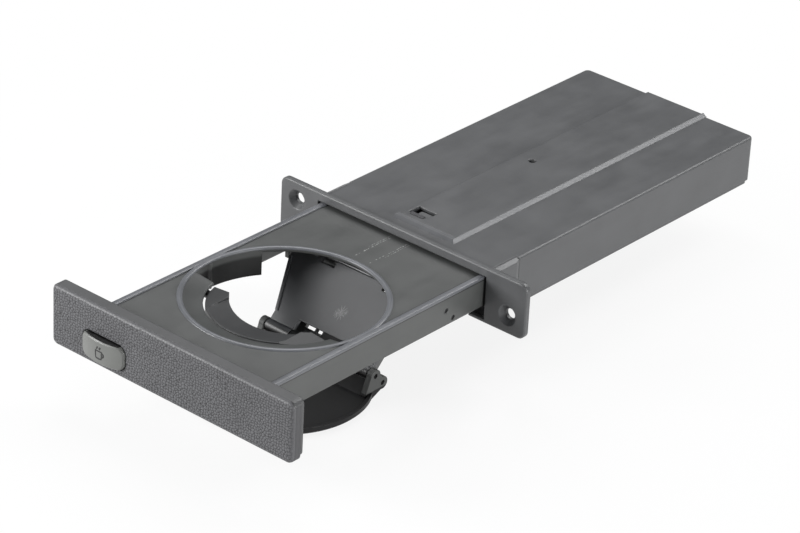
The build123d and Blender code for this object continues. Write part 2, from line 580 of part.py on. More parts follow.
def grip_flap():
    """Crescent flap inside the funnel, hollow below, on two stub pins."""
    outer = Pos(0, RING_Y) * Circle(FUNNEL_RADIUS - FLAP_GAP)
    inner = Pos(0, FLAP_INNER_Y) * Circle(FLAP_INNER_RADIUS)
    front = Pos(0, FLAP_AXIS_Y + 3.2 - 50) * Rectangle(2 * FLAP_END_X, 100)
    outline = (outer - inner) & front
    body = Pos(0, 0, FLAP_BOTTOM) * extrude(outline, FLAP_TOP - FLAP_BOTTOM)
    rise = FLAP_TOP - FLAP_LIP
    reach = FUNNEL_RADIUS - FLAP_GAP
    edge, above = reach - 0.6, FLAP_TOP + 2
    dish = [(0, FLAP_TOP - rise * 1.45), (edge, FLAP_TOP), (edge, above), (0, above)]
    body -= Pos(0, RING_Y, 0) * revolve(Plane.XZ * make_face(Polyline(*dish, close=True)), Axis.Z, 360)
    body = body & block(-FLAP_FACET_X, FLAP_FACET_X, -200, 0, -20, 20)
    ends = Pos(0, 0, FLAP_BOTTOM) * extrude(outline, FLAP_TOP - FLAP_BOTTOM)
    ends -= block(-FLAP_FACET_X, FLAP_FACET_X, -200, 0, -20, 20)
    tilt = [(17, FLAP_TOP - 0.2), (32, FLAP_TOP - 1.6), (32, FLAP_TOP + 2), (17, FLAP_TOP + 2)]
    cutter = Plane.XZ * make_face(Polyline(*tilt, close=True))
    ends -= both_sides(Pos(0, -60, 0) * extrude(cutter, 60))
    body += ends
    hollow_top = FLAP_LIP + 0.2 - FLAP_WALL
    hollow = Pos(0, 0, FLAP_BOTTOM - 1) * extrude(offset(outline, -FLAP_WALL), hollow_top - FLAP_BOTTOM)
    body -= hollow & block(-26, 26, -200, 0, -20, 20)
    boss = rod_x(27.0, FLAP_END_X, FLAP_AXIS_Y, FLAP_AXIS_Z, FLAP_BOSS_RADIUS)
    pin = rod_x(27.0, FLAP_END_X + FLAP_LUG_GAP + FLAP_LUG_THICK, FLAP_AXIS_Y, FLAP_AXIS_Z, FLAP_PIN_RADIUS)
    body += both_sides(boss + pin)
    return body


def link_plane(y, z):
    """Plane through an upper pivot, with its Y axis running up the link and Z out of its face."""
    angle = radians(LINK_ANGLE)
    return Plane(origin=(0, y, z), x_dir=(1, 0, 0), z_dir=(0, -sin(angle), cos(angle)))


def link_plate():
    """Broad front link that shows through the cup ring, tapered, with knuckles at both ends."""
    top, foot, long = LINK_TOP_WIDTH / 2, LINK_FOOT_WIDTH / 2, LINK_LENGTH
    outline = make_face(Polyline((-top, 0), (-top, -6), (-foot, -long + 6), (-foot, -long), (foot, -long),
                                 (foot, -long + 6), (top, -6), (top, 0), close=True))
    plate = extrude(outline, LINK_THICK / 2, both=True)
    border = [(-top, -6), (-foot, -long + 6), (-foot + BORDER_WIDTH, -long + 6), (-top + BORDER_WIDTH, -6)]
    plate += both_sides(prism_z(border, LINK_THICK / 2, LINK_THICK / 2 + BORDER_RISE))
    plate -= Pos(0, -long, 0) * Box(2 * KNUCKLE_INSIDE + 1.0, 13.0, 5)
    plate -= both_sides(Pos(NOTCH_X, 0, 0) * Box(NOTCH_WIDTH, NOTCH_WIDTH, 5))
    plate = link_plane(FRONT_PIVOT_Y, FRONT_PIVOT_Z) * plate
    knuckles = rod_x(TOP_KNUCKLE_START, top, FRONT_PIVOT_Y, FRONT_PIVOT_Z, KNUCKLE_RADIUS)
    knuckles += rod_x(KNUCKLE_INSIDE + 0.5, foot, FOOT_Y, FOOT_Z, KNUCKLE_RADIUS)
    body = plate + both_sides(knuckles)
    body -= rod_x(-top - 1, top + 1, FRONT_PIVOT_Y, FRONT_PIVOT_Z, BORE_RADIUS)
    body -= rod_x(-top - 1, top + 1, FOOT_Y, FOOT_Z, BORE_RADIUS)
    return body


def rear_link():
    """Narrower rear link that keeps the cup base level."""
    side, long = REAR_LINK_WIDTH / 2, LINK_LENGTH
    plate = Pos(0, -long / 2, 0) * Box(2 * side, long, LINK_THICK)
    plate -= Pos(0, -long / 2, 0) * Box(2 * (side - REAR_KNUCKLE) + 2, long - 12, 5)
    plate -= Pos(0, -long, 0) * Box(2 * (side - REAR_KNUCKLE), 6.4, 5)
    plate -= Box(2 * (side - REAR_KNUCKLE), 6.4, 5)
    body = link_plane(REAR_PIVOT_Y, REAR_PIVOT_Z) * plate
    for y, z in ((REAR_PIVOT_Y, REAR_PIVOT_Z), (REAR_FOOT_Y, REAR_FOOT_Z)):
        body += both_sides(rod_x(side - REAR_KNUCKLE, side, y, z, KNUCKLE_RADIUS))
        body -= rod_x(-side - 1, side + 1, y, z, BORE_RADIUS)
    return body


def cup_base():
    """Round support plate with a rim, a riser at the back and two ears for the lower rods."""
    top = FOOT_Z - BASE_DROP + BASE_THICK
    bottom = FOOT_Z - BASE_DROP
    chord = FOOT_Y - 2.2
    cut = block(-60, 60, chord, 60, -60, 20)
    plate = rod_z(0, RING_Y, bottom, top, BASE_RADIUS)
    rim = rod_z(0, RING_Y, top - 0.8, top + BASE_RIM, BASE_RADIUS)
    rim -= rod_z(0, RING_Y, bottom, top + 4, BASE_RADIUS - RIM_THICK)
    plate = chamfer(plate.faces().sort_by(Axis.Z)[0].edges(), BASE_EDGE)
    body = (plate + rim) - cut
    riser = [(FOOT_Y - 0.8, FOOT_Z - 1.6), (FOOT_Y - KNUCKLE_RADIUS, FOOT_Z), (FOOT_Y - 5.4, top),
             (FOOT_Y - 5.4, bottom), (chord, bottom), (chord, bottom + 2.2)]
    body += prism_x(riser, -EAR_IN - 0.4, EAR_IN + 0.4)
    body += rod_x(-KNUCKLE_INSIDE, KNUCKLE_INSIDE, FOOT_Y, FOOT_Z, KNUCKLE_RADIUS)
    relief = rod_x(KNUCKLE_INSIDE, EAR_IN, FOOT_Y, FOOT_Z, KNUCKLE_RADIUS + 0.5)
    body -= both_sides(relief)
    corners = [(FOOT_Y - 2.5, FOOT_Z + 0.4), (FOOT_Y - 5.4, top + 0.6), (FOOT_Y - 5.4, bottom),
               (chord + 0.6, bottom), (REAR_FOOT_Y - 0.6, REAR_FOOT_Z - 2.4), (REAR_FOOT_Y + 2.4, REAR_FOOT_Z),
               (FOOT_Y + 2.4, FOOT_Z)]
    ear = prism_x(corners, EAR_IN, EAR_OUT)
    ear += rod_x(EAR_IN, EAR_OUT, FOOT_Y, FOOT_Z, EAR_RADIUS)
    ear += rod_x(EAR_IN, EAR_OUT, REAR_FOOT_Y, REAR_FOOT_Z, EAR_RADIUS)
    body += both_sides(ear)
    body -= rod_x(-EAR_OUT - 1, EAR_OUT + 1, FOOT_Y, FOOT_Z, ROD_RADIUS)
    body -= rod_x(-EAR_OUT - 1, EAR_OUT + 1, REAR_FOOT_Y, REAR_FOOT_Z, ROD_RADIUS)
    return body


def spring_reel():
    """Rolled spring band on its hub."""
    body = rod_x(REEL_X - REEL_WIDTH / 2 + BAND_INSET, REEL_X + REEL_WIDTH / 2 - BAND_INSET, REEL_Y, REEL_Z,
                 REEL_RADIUS)
    for side in (-1, 1):
        x = REEL_X + side * (REEL_WIDTH / 2 - BAND_INSET)
        body += rod_x(x - 0.4, x + 0.4, REEL_Y, REEL_Z, REEL_HUB_RADIUS)
    return body - rod_x(REEL_X - REEL_WIDTH, REEL_X + REEL_WIDTH, REEL_Y, REEL_Z, REEL_PIN_RADIUS + ROD_FIT)


def damper_gear():
    """Pinion of the damper, in mesh with the rack on the left rail."""
    rim = extrude(make_face(Polyline(*gEAR_OUTline(0.16), close=True)), GEAR_THICK)
    body = Pos(GEAR_X, GEAR_Y, GEAR_BOTTOM) * rim
    shaft_top = DAMPER_BOTTOM + DAMPER_BORE - 0.4
    return body + rod_z(GEAR_X, GEAR_Y, GEAR_BOTTOM + GEAR_THICK, shaft_top, DAMPER_SHAFT)


def damper_body():
    """Sealed pot of the damper, seated in the drawer's deck, with a bore for the pinion's shaft."""
    top = DECK_BOTTOM - 0.2
    low = DAMPER_BOTTOM
    body = rod_z(GEAR_X, GEAR_Y, low, top, DAMPER_RADIUS - 0.05)
    body = chamfer(body.faces().sort_by(Axis.Z)[0].edges(), 0.6)
    return body - rod_z(GEAR_X, GEAR_Y, low - 1, low + DAMPER_BORE, DAMPER_SHAFT + ROD_FIT)


save(bezel(), "bezel_flange")
save(housing_cover(), "housing_cover")
save(housing_floor(), "housing_floor")
save(spring_band(), "spring_band")
save(drawer_tray(), "drawer_tray")
save(face_panel(), "face_panel")
save(push_button(), "push_button")
save(button_spring(), "button_spring")
save(latch_lever(), "latch_lever")
save(latch_pin(), "latch_pin")
save(grip_flap(), "grip_flap")
save(link_plate(), "link_plate")
save(rear_link(), "rear_link")
save(cup_base(), "cup_base")
save(spring_reel(), "spring_reel")
save(rod_x(REEL_X - PIN_REACH, REEL_X + PIN_REACH, REEL_Y, REEL_Z, REEL_PIN_RADIUS), "reel_pin")
save(damper_gear(), "damper_gear")
save(damper_body(), "damper_body")
save(rod_x(-ROD_HALF, ROD_HALF, FRONT_PIVOT_Y, FRONT_PIVOT_Z, ROD_RADIUS), "upper_rod_front")
save(rod_x(-ROD_HALF, ROD_HALF, REAR_PIVOT_Y, REAR_PIVOT_Z, ROD_RADIUS), "upper_rod_rear")
save(rod_x(-FOOT_ROD_HALF, FOOT_ROD_HALF, FOOT_Y, FOOT_Z, ROD_RADIUS), "lower_rod_front")
save(rod_x(-FOOT_ROD_HALF, FOOT_ROD_HALF, REAR_FOOT_Y, REAR_FOOT_Z, ROD_RADIUS), "lower_rod_rear")
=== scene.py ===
import logging
import math
from collections.abc import Iterator
from dataclasses import dataclass
from enum import Enum
from functools import cached_property, reduce

import bmesh
import bpy
import numpy as np
from mathutils import Matrix, Vector


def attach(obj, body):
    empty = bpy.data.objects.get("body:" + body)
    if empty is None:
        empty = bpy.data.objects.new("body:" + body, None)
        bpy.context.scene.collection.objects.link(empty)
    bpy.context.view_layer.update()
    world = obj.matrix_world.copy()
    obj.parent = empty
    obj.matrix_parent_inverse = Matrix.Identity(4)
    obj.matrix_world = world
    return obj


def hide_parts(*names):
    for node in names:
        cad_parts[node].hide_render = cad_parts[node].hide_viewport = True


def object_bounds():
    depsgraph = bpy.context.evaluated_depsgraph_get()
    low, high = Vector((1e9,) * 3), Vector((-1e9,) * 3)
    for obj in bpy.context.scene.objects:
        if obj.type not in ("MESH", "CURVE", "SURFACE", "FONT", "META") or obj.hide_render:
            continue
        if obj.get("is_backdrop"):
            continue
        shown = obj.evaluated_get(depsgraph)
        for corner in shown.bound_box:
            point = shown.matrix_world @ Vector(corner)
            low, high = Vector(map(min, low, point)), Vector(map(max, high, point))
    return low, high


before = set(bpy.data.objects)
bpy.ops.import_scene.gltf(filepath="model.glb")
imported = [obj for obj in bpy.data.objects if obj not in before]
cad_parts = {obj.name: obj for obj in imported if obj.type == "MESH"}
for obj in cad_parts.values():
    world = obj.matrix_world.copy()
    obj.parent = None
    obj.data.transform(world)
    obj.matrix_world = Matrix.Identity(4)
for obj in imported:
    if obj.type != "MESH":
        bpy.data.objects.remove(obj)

LOG = logging.getLogger("cup_holder")
MM = 0.001
PHOTO_WIDTH = 800
SENSOR_MM = 36.0
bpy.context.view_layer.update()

Array = np.ndarray
Colour = tuple[float, float, float]
Value = bpy.types.NodeSocket


class Lamp(Enum):
    """Soft studio lamps: place in metres, edge length in metres and power in watts."""

    SIDE = ((1.10, -0.10, 0.10), 0.6, 14.0)
    FRONT = ((-0.62, -0.72, 0.32), 0.5, 10.5)
    BACK = ((0.15, 0.75, 0.75), 0.5, 5.0)
    TOP = ((-0.45, 0.35, 0.90), 0.5, 3.6)


class NodeGraph:
    """Small helper that adds and joins shader nodes in one material."""

    MIX_LOW, MIX_HIGH, MIX_RESULT = 6, 7, 2  # numbers of the Mix node's colour sockets

    def __init__(self, name: str) -> None:
        """Starts an empty node material.

        Args:
            name: The material's name.
        """
        self.material = bpy.data.materials.new(name)
        self.material.use_nodes = True
        self.tree = self.material.node_tree
        self.tree.nodes.clear()
        self.place = self.add("ShaderNodeTexCoord").outputs["Object"]

    @cached_property
    def axes(self) -> bpy.types.bpy_prop_collection:
        """Sockets X, Y and Z of the object's coordinates."""
        return self.add("ShaderNodeSeparateXYZ", {"Vector": self.place}).outputs

    @cached_property
    def side(self) -> Value:
        """Distance from the middle along X."""
        return self.maths("ABSOLUTE", self.axes["X"])

    def add(self, kind: str, inputs: dict[str | int, object] | None = None,
            **settings: object) -> bpy.types.Node:
        """Adds a node.

        Args:
            kind: Blender's name for the node's type.
            inputs: Values of inputs, or the sockets that feed them, by name or number.
            settings: Attributes of the node to set.

        Returns:
            The new node.
        """
        node = self.tree.nodes.new(kind)
        for key, value in settings.items():
            setattr(node, key, value)
        for key, value in (inputs or {}).items():
            if isinstance(value, Value):
                self.tree.links.new(value, node.inputs[key])
            else:
                node.inputs[key].default_value = value
        return node

    def noise(self, size: float, detail: float = 2.0, stretch: Colour = (1.0, 1.0, 1.0)) -> Value:
        """Adds a noise pattern.

        Args:
            size: Size of one feature in metres.
            detail: Number of finer layers.
            stretch: Factor on the pattern's frequency along X, Y and Z.

        Returns:
            The noise's value socket.
        """
        mapping = self.add("ShaderNodeMapping", {"Vector": self.place, "Scale": stretch})
        inputs = {"Vector": mapping.outputs["Vector"], "Scale": 1.0 / size, "Detail": detail}
        return self.add("ShaderNodeTexNoise", inputs).outputs["Fac"]

    def ramp(self, value: Value, low: float, high: float, out_low: float = 0.0, out_high: float = 1.0,
             smooth: bool = False) -> Value:
        """Maps a value from one range to another, clamped.

        Args:
            value: Socket that holds the value.
            low: Start of the range read.
            high: End of the range read.
            out_low: Value given at the start.
            out_high: Value given at the end.
            smooth: Whether the step is eased.

        Returns:
            The mapped value's socket.
        """
        inputs = {"Value": value, "From Min": low, "From Max": high, "To Min": out_low, "To Max": out_high}
        kind = "SMOOTHSTEP" if smooth else "LINEAR"
        return self.add("ShaderNodeMapRange", inputs, clamp=True, interpolation_type=kind).outputs["Result"]

    def band(self, value: Value, low: float, high: float) -> Value:
        """Gives 1 between two values and 0 outside, with short ramps at both ends.

        Args:
            value: Socket that holds the value.
            low: Start of the band.
            high: End of the band.

        Returns:
            Socket of the mask.
        """
        soft = 0.06 * MM
        leave = self.ramp(value, high - soft, high + soft, 1.0, 0.0)
        return self.times(self.ramp(value, low - soft, low + soft), leave)

    def maths(self, operation: str, first: Value, second: Value | float = 0.0) -> Value:
        """Adds one step of arithmetic, named as in the Math node. Some use only the first value."""
        return self.add("ShaderNodeMath", {0: first, 1: second}, operation=operation).outputs["Value"]

    def times(self, *factors: Value | float) -> Value:
        """Multiplies values, of which the first is a socket."""
        return reduce(lambda total, factor: self.maths("MULTIPLY", total, factor), factors)

    def largest(self, values: list[Value]) -> Value:
        """Gives the largest of several values."""
        return reduce(lambda total, value: self.maths("MAXIMUM", total, value), values)

    def from_axis(self, x: float, y: float) -> tuple[Value, Value, Value]:
        """Gives the distances along X and Y from an upright axis, and the sum of their squares.

        Args:
            x: The axis's place along X.
            y: The axis's place along Y.

        Returns:
            Sockets of both distances and of the sum.
        """
        across = self.maths("SUBTRACT", self.axes["X"], x)
        along = self.maths("SUBTRACT", self.axes["Y"], y)
        return across, along, self.maths("ADD", self.times(across, across), self.times(along, along))

    def blend(self, factor: Value, low: Colour | Value, high: Colour) -> Value:
        """Mixes two colours by a factor.

        Args:
            factor: Socket of the mix factor.
            low: Colour or socket at factor 0.
            high: Colour at factor 1.

        Returns:
            The mixed colour's socket.
        """
        first = (*low, 1.0) if isinstance(low, tuple) else low
        inputs = {"Factor": factor, self.MIX_LOW: first, self.MIX_HIGH: (*high, 1.0)}
        return self.add("ShaderNodeMix", inputs, data_type="RGBA").outputs[self.MIX_RESULT]

    def relief(self, height: Value, depth: float, strength: float, radius: float) -> Value:
        """Raises the shading by a height pattern and rounds the shading of edges.

        Args:
            height: Socket of the height, from 0 to 1.
            depth: Height in metres that 1 stands for.
            strength: Share of the effect.
            radius: Radius in metres within which the edges' normals are averaged.

        Returns:
            Socket of the normal.
        """
        rounded = self.add("ShaderNodeBevel", {"Radius": radius}, samples=6).outputs["Normal"]
        inputs = {"Height": height, "Distance": depth, "Strength": strength, "Normal": rounded}
        return self.add("ShaderNodeBump", inputs).outputs["Normal"]

    def shade(self, colour: Value, rough: Value, normal: Value, specular: float = 0.5,
              metallic: float = 0.0) -> bpy.types.Material:
        """Adds the Principled shader and joins it to the output.

        Args:
            colour: Socket of the base colour.
            rough: Socket of the roughness.
            normal: Socket of the normal.
            specular: Level of the plastic's mirror part.
            metallic: 1 for metal and 0 for plastic.

        Returns:
            The finished material.
        """
        inputs = {"Base Color": colour, "Roughness": rough, "Normal": normal, "Specular IOR Level": specular,
                  "Metallic": metallic}
        return self.finished(self.add("ShaderNodeBsdfPrincipled", inputs).outputs["BSDF"])

    def finished(self, shader: Value) -> bpy.types.Material:
        """Joins a shader to the material's output and gives the material."""
        self.add("ShaderNodeOutputMaterial", {"Surface": shader})
        return self.material


SCRATCH_TONE = (0.5, 0.5, 0.49)
GATE_TONE = (0.42, 0.42, 0.42)
# painted shade in the lines along the deck's lips
GROOVE_SHADE = (0.008, 0.008, 0.008)
# painted shade on the link plate's lower part
UNDER_SHADE = (0.010, 0.010, 0.010)
# painted shade in the gap over the button's cap
GAP_SHADE = (0.004, 0.004, 0.004)
ARM_TONE = (0.085, 0.087, 0.085)


def scaled(colour: Colour, share: float) -> Colour:
    """Multiplies a colour by a share."""
    return tuple(channel * share for channel in colour)


@dataclass(frozen=True)
class Scuff:
    """A pale scratch along Y on a top face: a band about x that fades out from half of width to width."""

    x: float
    start: float
    end: float
    width: float


@dataclass(frozen=True)
class MouldedPlastic:
    """Dark moulded plastic with a fine sparked texture, soft edges and a faint mottle.

    Optional marks follow: lines of painted shade between two distances from the middle and two heights;
    heights above and below which shade is painted; the place and size of a gate mark; the place, radius
    and height of a hollow's wall darkened with painted shade; and the side and height beyond which the
    plastic is paler, where a finish darkened as painted shade gives way to a lit tone.
    """

    name: str
    colour: Colour
    roughness: float
    texture_size: float = 0.2 * MM
    texture_depth: float = 0.015 * MM
    edge_radius: float = 0.5 * MM
    specular: float = 0.7
    scuffs: tuple[Scuff, ...] = ()
    # lines of painted shade: two distances from the middle and two heights each
    groove_shades: tuple[tuple[float, float, float, float], ...] = ()
    # height above which shade is painted
    shade_above: float | None = None
    # height below which shade is painted
    shade_below: float | None = None
    patch: tuple[float, float, float] | None = None
    # place, radius and height of a hollow's wall darkened with painted shade
    hollow_shade: tuple[float, float, float, float] | None = None
    # side and height past which a finish darkened as painted shade takes a paler lit tone
    lit_ears: tuple[float, float] | None = None

    def material(self) -> bpy.types.Material:
        """Builds the node material.

        Returns:
            The material.
        """
        graph = NodeGraph(self.name)
        mottle, streaks = graph.noise(16 * MM, 4.0), graph.noise(5 * MM, 3.0, (1.0, 0.25, 1.0))
        tone = graph.maths("ADD", graph.times(mottle, 0.65), graph.times(streaks, 0.35))
        mottled = graph.ramp(tone, 0.36, 0.64)
        colour = graph.blend(mottled, scaled(self.colour, 0.9), scaled(self.colour, 1.12))
        rough = graph.ramp(tone, 0.3, 0.7, self.roughness - 0.05, self.roughness + 0.06)
        for mask, tint in self.marks(graph):
            colour = graph.blend(mask, colour, tint)
        fine = graph.noise(self.texture_size)
        normal = graph.relief(fine, self.texture_depth, 0.6, self.edge_radius)
        return graph.shade(colour, rough, normal, self.specular)

    def marks(self, graph: NodeGraph) -> Iterator[tuple[Value, Colour]]:
        """Gives the marks that this finish has, in the order in which they are laid on.

        Args:
            graph: Graph of the material.

        Yields:
            The mask and the colour of one mark.
        """
        if self.scuffs:
            yield self.scuff_mask(graph), SCRATCH_TONE
        # painted shade above a height
        if self.shade_above is not None:
            yield graph.ramp(graph.axes["Z"], self.shade_above, self.shade_above + 0.1 * MM), GAP_SHADE
        # painted shade below a height
        if self.shade_below is not None:
            start = self.shade_below - 0.6 * MM
            yield graph.ramp(graph.axes["Z"], start, self.shade_below, 1.0, 0.0), UNDER_SHADE
        if self.patch:
            yield self.patch_mask(graph), GATE_TONE
        # lines of painted shade
        for low_x, high_x, low_z, high_z in self.groove_shades:
            line = graph.band(graph.side, low_x, high_x)
            yield graph.times(line, graph.band(graph.axes["Z"], low_z, high_z), 0.85), GROOVE_SHADE
        # painted shade on a hollow's wall below a height
        if self.hollow_shade:
            x, y, radius, height = self.hollow_shade
            near = graph.ramp(graph.from_axis(x, y)[2], radius ** 2, (radius + 0.1 * MM) ** 2, 1.0, 0.0)
            under = graph.ramp(graph.axes["Z"], height - 1.5 * MM, height, 1.0, 0.0, smooth=True)
            yield graph.times(near, under), scaled(self.colour, 0.12)
        # the painted shade stops on the ears, which take the arm's lit tone
        if self.lit_ears:
            beyond = graph.ramp(graph.side, self.lit_ears[0] - 0.1 * MM, self.lit_ears[0])
            above = graph.ramp(graph.axes["Z"], self.lit_ears[1], self.lit_ears[1] + 0.3 * MM)
            yield graph.times(beyond, above), ARM_TONE

    def patch_mask(self, graph: NodeGraph) -> Value:
        """Mask of a pale star-like mark: three radial bursts, each r < size * (0.4 + 0.6 cos(5 a)^4).

        Args:
            graph: Graph of the material.

        Returns:
            Socket of the mask.
        """
        x, y, size = self.patch
        bursts = []
        for shift, share in ((-1.7, 0.6), (0.0, 1.0), (1.9, 0.45)):
            across, along, squares = graph.from_axis(x + shift * MM, y + 0.3 * shift * MM)
            radius = graph.maths("POWER", squares, 0.5)
            turn = graph.times(graph.maths("ARCTAN2", across, along), 5.0)
            ray = graph.maths("POWER", graph.maths("ABSOLUTE", graph.maths("COSINE", turn)), 4.0)
            reach = graph.times(graph.maths("ADD", graph.times(ray, 0.6), 0.4), size * share)
            inside = graph.maths("SUBTRACT", reach, radius)
            bursts.append(graph.ramp(inside, -0.1 * MM, 0.25 * MM, 0.0, 0.5))
        return graph.times(graph.largest(bursts), graph.ramp(graph.noise(0.4 * MM), 0.4, 0.62, 0.25, 1.0))

    def scuff_mask(self, graph: NodeGraph) -> Value:
        """Adds up the masks of the scratches.

        Args:
            graph: Graph of the material.

        Returns:
            Socket of the mask, 1 on a scratch.
        """
        drift = graph.ramp(graph.noise(1.6 * MM), 0.0, 1.0, -0.35 * MM, 0.35 * MM)
        x, y = graph.maths("ADD", graph.axes["X"], drift), graph.axes["Y"]
        broken = graph.ramp(graph.noise(0.55 * MM, stretch=(1.0, 0.6, 1.0)), 0.47, 0.6)
        scratches = []
        for scuff in self.scuffs:
            off = graph.maths("ABSOLUTE", graph.maths("SUBTRACT", x, scuff.x))
            band = graph.ramp(off, scuff.width * 0.5, scuff.width, 1.0, 0.0)
            enter = graph.ramp(y, scuff.start, scuff.start + 1.5 * MM)
            leave = graph.ramp(y, scuff.end - 1.0 * MM, scuff.end, 1.0, 0.0)
            scratches.append(graph.times(band, enter, leave))
        on_top = graph.ramp(graph.axes["Z"], 6.7 * MM, 6.8 * MM)
        return graph.times(graph.largest(scratches), broken, on_top, 0.85)


@dataclass(frozen=True)
class GrainedPlastic:
    """Charcoal plastic whose pebbles carry a painted highlight and whose creases carry painted shade.

    The pebbles' height comes with the mesh as the attribute "grain": 0 in a crease, 1 on a pebble
    and -1 on the smooth rim and back.
    """

    name: str
    colour: Colour
    roughness: float

    def material(self) -> bpy.types.Material:
        """Builds the node material.

        Returns:
            The material.
        """
        graph = NodeGraph(self.name)
        height = graph.add("ShaderNodeAttribute", attribute_name="grain").outputs["Fac"]
        wrinkle = graph.noise(0.3 * MM)
        mixed = graph.maths("ADD", height, graph.ramp(wrinkle, 0.3, 0.7, -0.22, 0.22))
        mottle = graph.ramp(graph.noise(14 * MM, 4.0), 0.35, 0.65, 0.85, 1.0)
        # colour follows the grain's height: painted shade in the creases and painted highlight on the
        # pebbles, over the real relief
        pebbles = graph.times(graph.ramp(mixed, 0.05, 0.95), mottle)
        grain_shade_and_highlight = graph.blend(pebbles, scaled(self.colour, 0.3), scaled(self.colour, 1.7))
        colour = graph.blend(graph.ramp(height, -0.9, -0.3, 1.0, 0.0), grain_shade_and_highlight, scaled(self.colour, 0.75))
        rough = graph.ramp(mixed, 0.0, 1.0, self.roughness + 0.14, self.roughness - 0.05)
        normal = graph.relief(wrinkle, 0.03 * MM, 0.6, 0.3 * MM)
        return graph.shade(colour, rough, normal)


@dataclass(frozen=True)
class Steel:
    """Bare steel with fine drawing lines along one axis."""

    name: str
    colour: Colour
    roughness: float
    lines: Colour

    def material(self) -> bpy.types.Material:
        """Builds the node material.

        Returns:
            The material.
        """
        graph = NodeGraph(self.name)
        lines = graph.noise(0.25 * MM, stretch=self.lines)
        colour = graph.blend(graph.noise(3 * MM), scaled(self.colour, 0.8), self.colour)
        rough = graph.ramp(lines, 0.3, 0.7, self.roughness - 0.08, self.roughness + 0.1)
        normal = graph.relief(lines, 0.01 * MM, 0.5, 0.1 * MM)
        return graph.shade(colour, rough, normal, metallic=1.0)


DECK_SCUFFS = (
    Scuff(-3.9 * MM, -22.6 * MM, 0.5 * MM, 0.2 * MM),
    Scuff(-4.9 * MM, -13.0 * MM, 0.5 * MM, 0.16 * MM),
    Scuff(3.9 * MM, -23.7 * MM, 0.5 * MM, 0.2 * MM),
    Scuff(5.0 * MM, -15.0 * MM, 0.5 * MM, 0.14 * MM),
)
# painted shade in a line inside each lip and on the side wall under it
DECK_GROOVE_SHADES = ((38.0 * MM, 38.55 * MM, 6.9 * MM, 7.2 * MM), (41.0 * MM, 42.0 * MM, 5.9 * MM, 6.35 * MM))
HOUSING = MouldedPlastic("housing_plastic", (0.088, 0.090, 0.093), 0.40, 0.22 * MM, 0.018 * MM, 0.7 * MM)
# drawer plastic with painted shade in the lines along the lips and on the cup ring's inner wall below the
# deck
DRAWER = MouldedPlastic("drawer_plastic", (0.072, 0.075, 0.073), 0.38, 0.18 * MM, 0.012 * MM, 1.0 * MM,
                        scuffs=DECK_SCUFFS, groove_shades=DECK_GROOVE_SHADES, hollow_shade=(0.0, -64 * MM, 38.2 * MM, 4.6 * MM))
MOVING = MouldedPlastic("moving_plastic", (0.032, 0.033, 0.034), 0.42)
# paler bluish copy of the housing plastic: painted sheen on the panel's sloped borders
BEVEL = MouldedPlastic("bevel_painted_sheen", (0.115, 0.118, 0.124), 0.40, 0.22 * MM, 0.012 * MM, 0.1 * MM)
# link plate with painted shade on its lower part
LINK = MouldedPlastic("link_plastic", (0.069, 0.071, 0.075), 0.42,
                      patch=(1.2 * MM, -33.8 * MM, 2.4 * MM), shade_below=-20.4 * MM)
# button cap with painted shade on its top, where the gap over it is
BUTTON = MouldedPlastic("button_plastic", (0.19, 0.195, 0.185), 0.34, 0.15 * MM, 0.006 * MM, 0.25 * MM,
                        shade_above=0.22 * MM)
# paler bluish copy of the drawer plastic: painted highlight on the rounded lips and bead
LIP_HIGHLIGHT = MouldedPlastic("lip_painted_highlight", (0.135, 0.140, 0.152), 0.32, 0.18 * MM, 0.006 * MM, 0.15 * MM)
# cup base: a much darker copy of the moving plastic as painted shade, with a lit tone on its ears
BASE_SHADE = MouldedPlastic("base_painted_shade", (0.010, 0.010, 0.0105), 0.46, specular=0.2,
                      lit_ears=(26.1 * MM, -28.5 * MM))
ARM = MouldedPlastic("arm_plastic", ARM_TONE, 0.42)
MARK = MouldedPlastic("mark_plastic", (0.012, 0.012, 0.012), 0.5, 0.15 * MM, 0.006 * MM, 0.1 * MM)
PANEL = MouldedPlastic("panel_plastic", (0.07, 0.071, 0.073), 0.45, 0.2 * MM, 0.012 * MM)
DAMPER = MouldedPlastic("damper_plastic", (0.03, 0.03, 0.03), 0.5, 0.25 * MM, 0.015 * MM)
GEAR = MouldedPlastic("gear_plastic", (0.62, 0.60, 0.53), 0.42, 0.3 * MM, 0.01 * MM, 0.12 * MM)
FACE = GrainedPlastic("grained_plastic", (0.096, 0.096, 0.101), 0.46)
SPRING = Steel("spring_steel", (0.46, 0.46, 0.47), 0.32, (0.2, 4.0, 4.0))
BAND = Steel("band_steel", (0.13, 0.13, 0.135), 0.5, (0.2, 4.0, 4.0))
PIN = Steel("pin_steel", (0.07, 0.07, 0.072), 0.40, (0.1, 4.0, 4.0))
# near-black steel for the lower rods: painted shade standing in for the dark holes at the rod ends
ROD_SHADE = Steel("rod_painted_shade", (0.012, 0.012, 0.012), 0.5, (0.1, 4.0, 4.0))
Finish = MouldedPlastic | GrainedPlastic | Steel


@dataclass
class Dresser:
    """Makes each finish once and puts it on CAD nodes and new pieces."""

    made: dict[str, bpy.types.Material]

    def material(self, finish: Finish) -> bpy.types.Material:
        """Gives the material of a finish, making it at first use.

        Args:
            finish: The finish.

        Returns:
            Its material.
        """
        if finish.name not in self.made:
            self.made[finish.name] = finish.material()
        return self.made[finish.name]

    def dress(self, thing: bpy.types.Object, finish: Finish) -> None:
        """Puts a finish on the whole of one object.

        Args:
            thing: The object.
            finish: The finish.
        """
        thing.data.materials.clear()
        thing.data.materials.append(self.material(finish))
        LOG.info("dressed %s in %s", thing.name, finish.name)

    def dress_nodes(self, finish: Finish, *names: str) -> None:
        """Puts a finish on CAD nodes.

        Args:
            finish: The finish.
            names: The nodes' names.
        """
        for name in names:
            self.dress(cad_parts[name], finish)


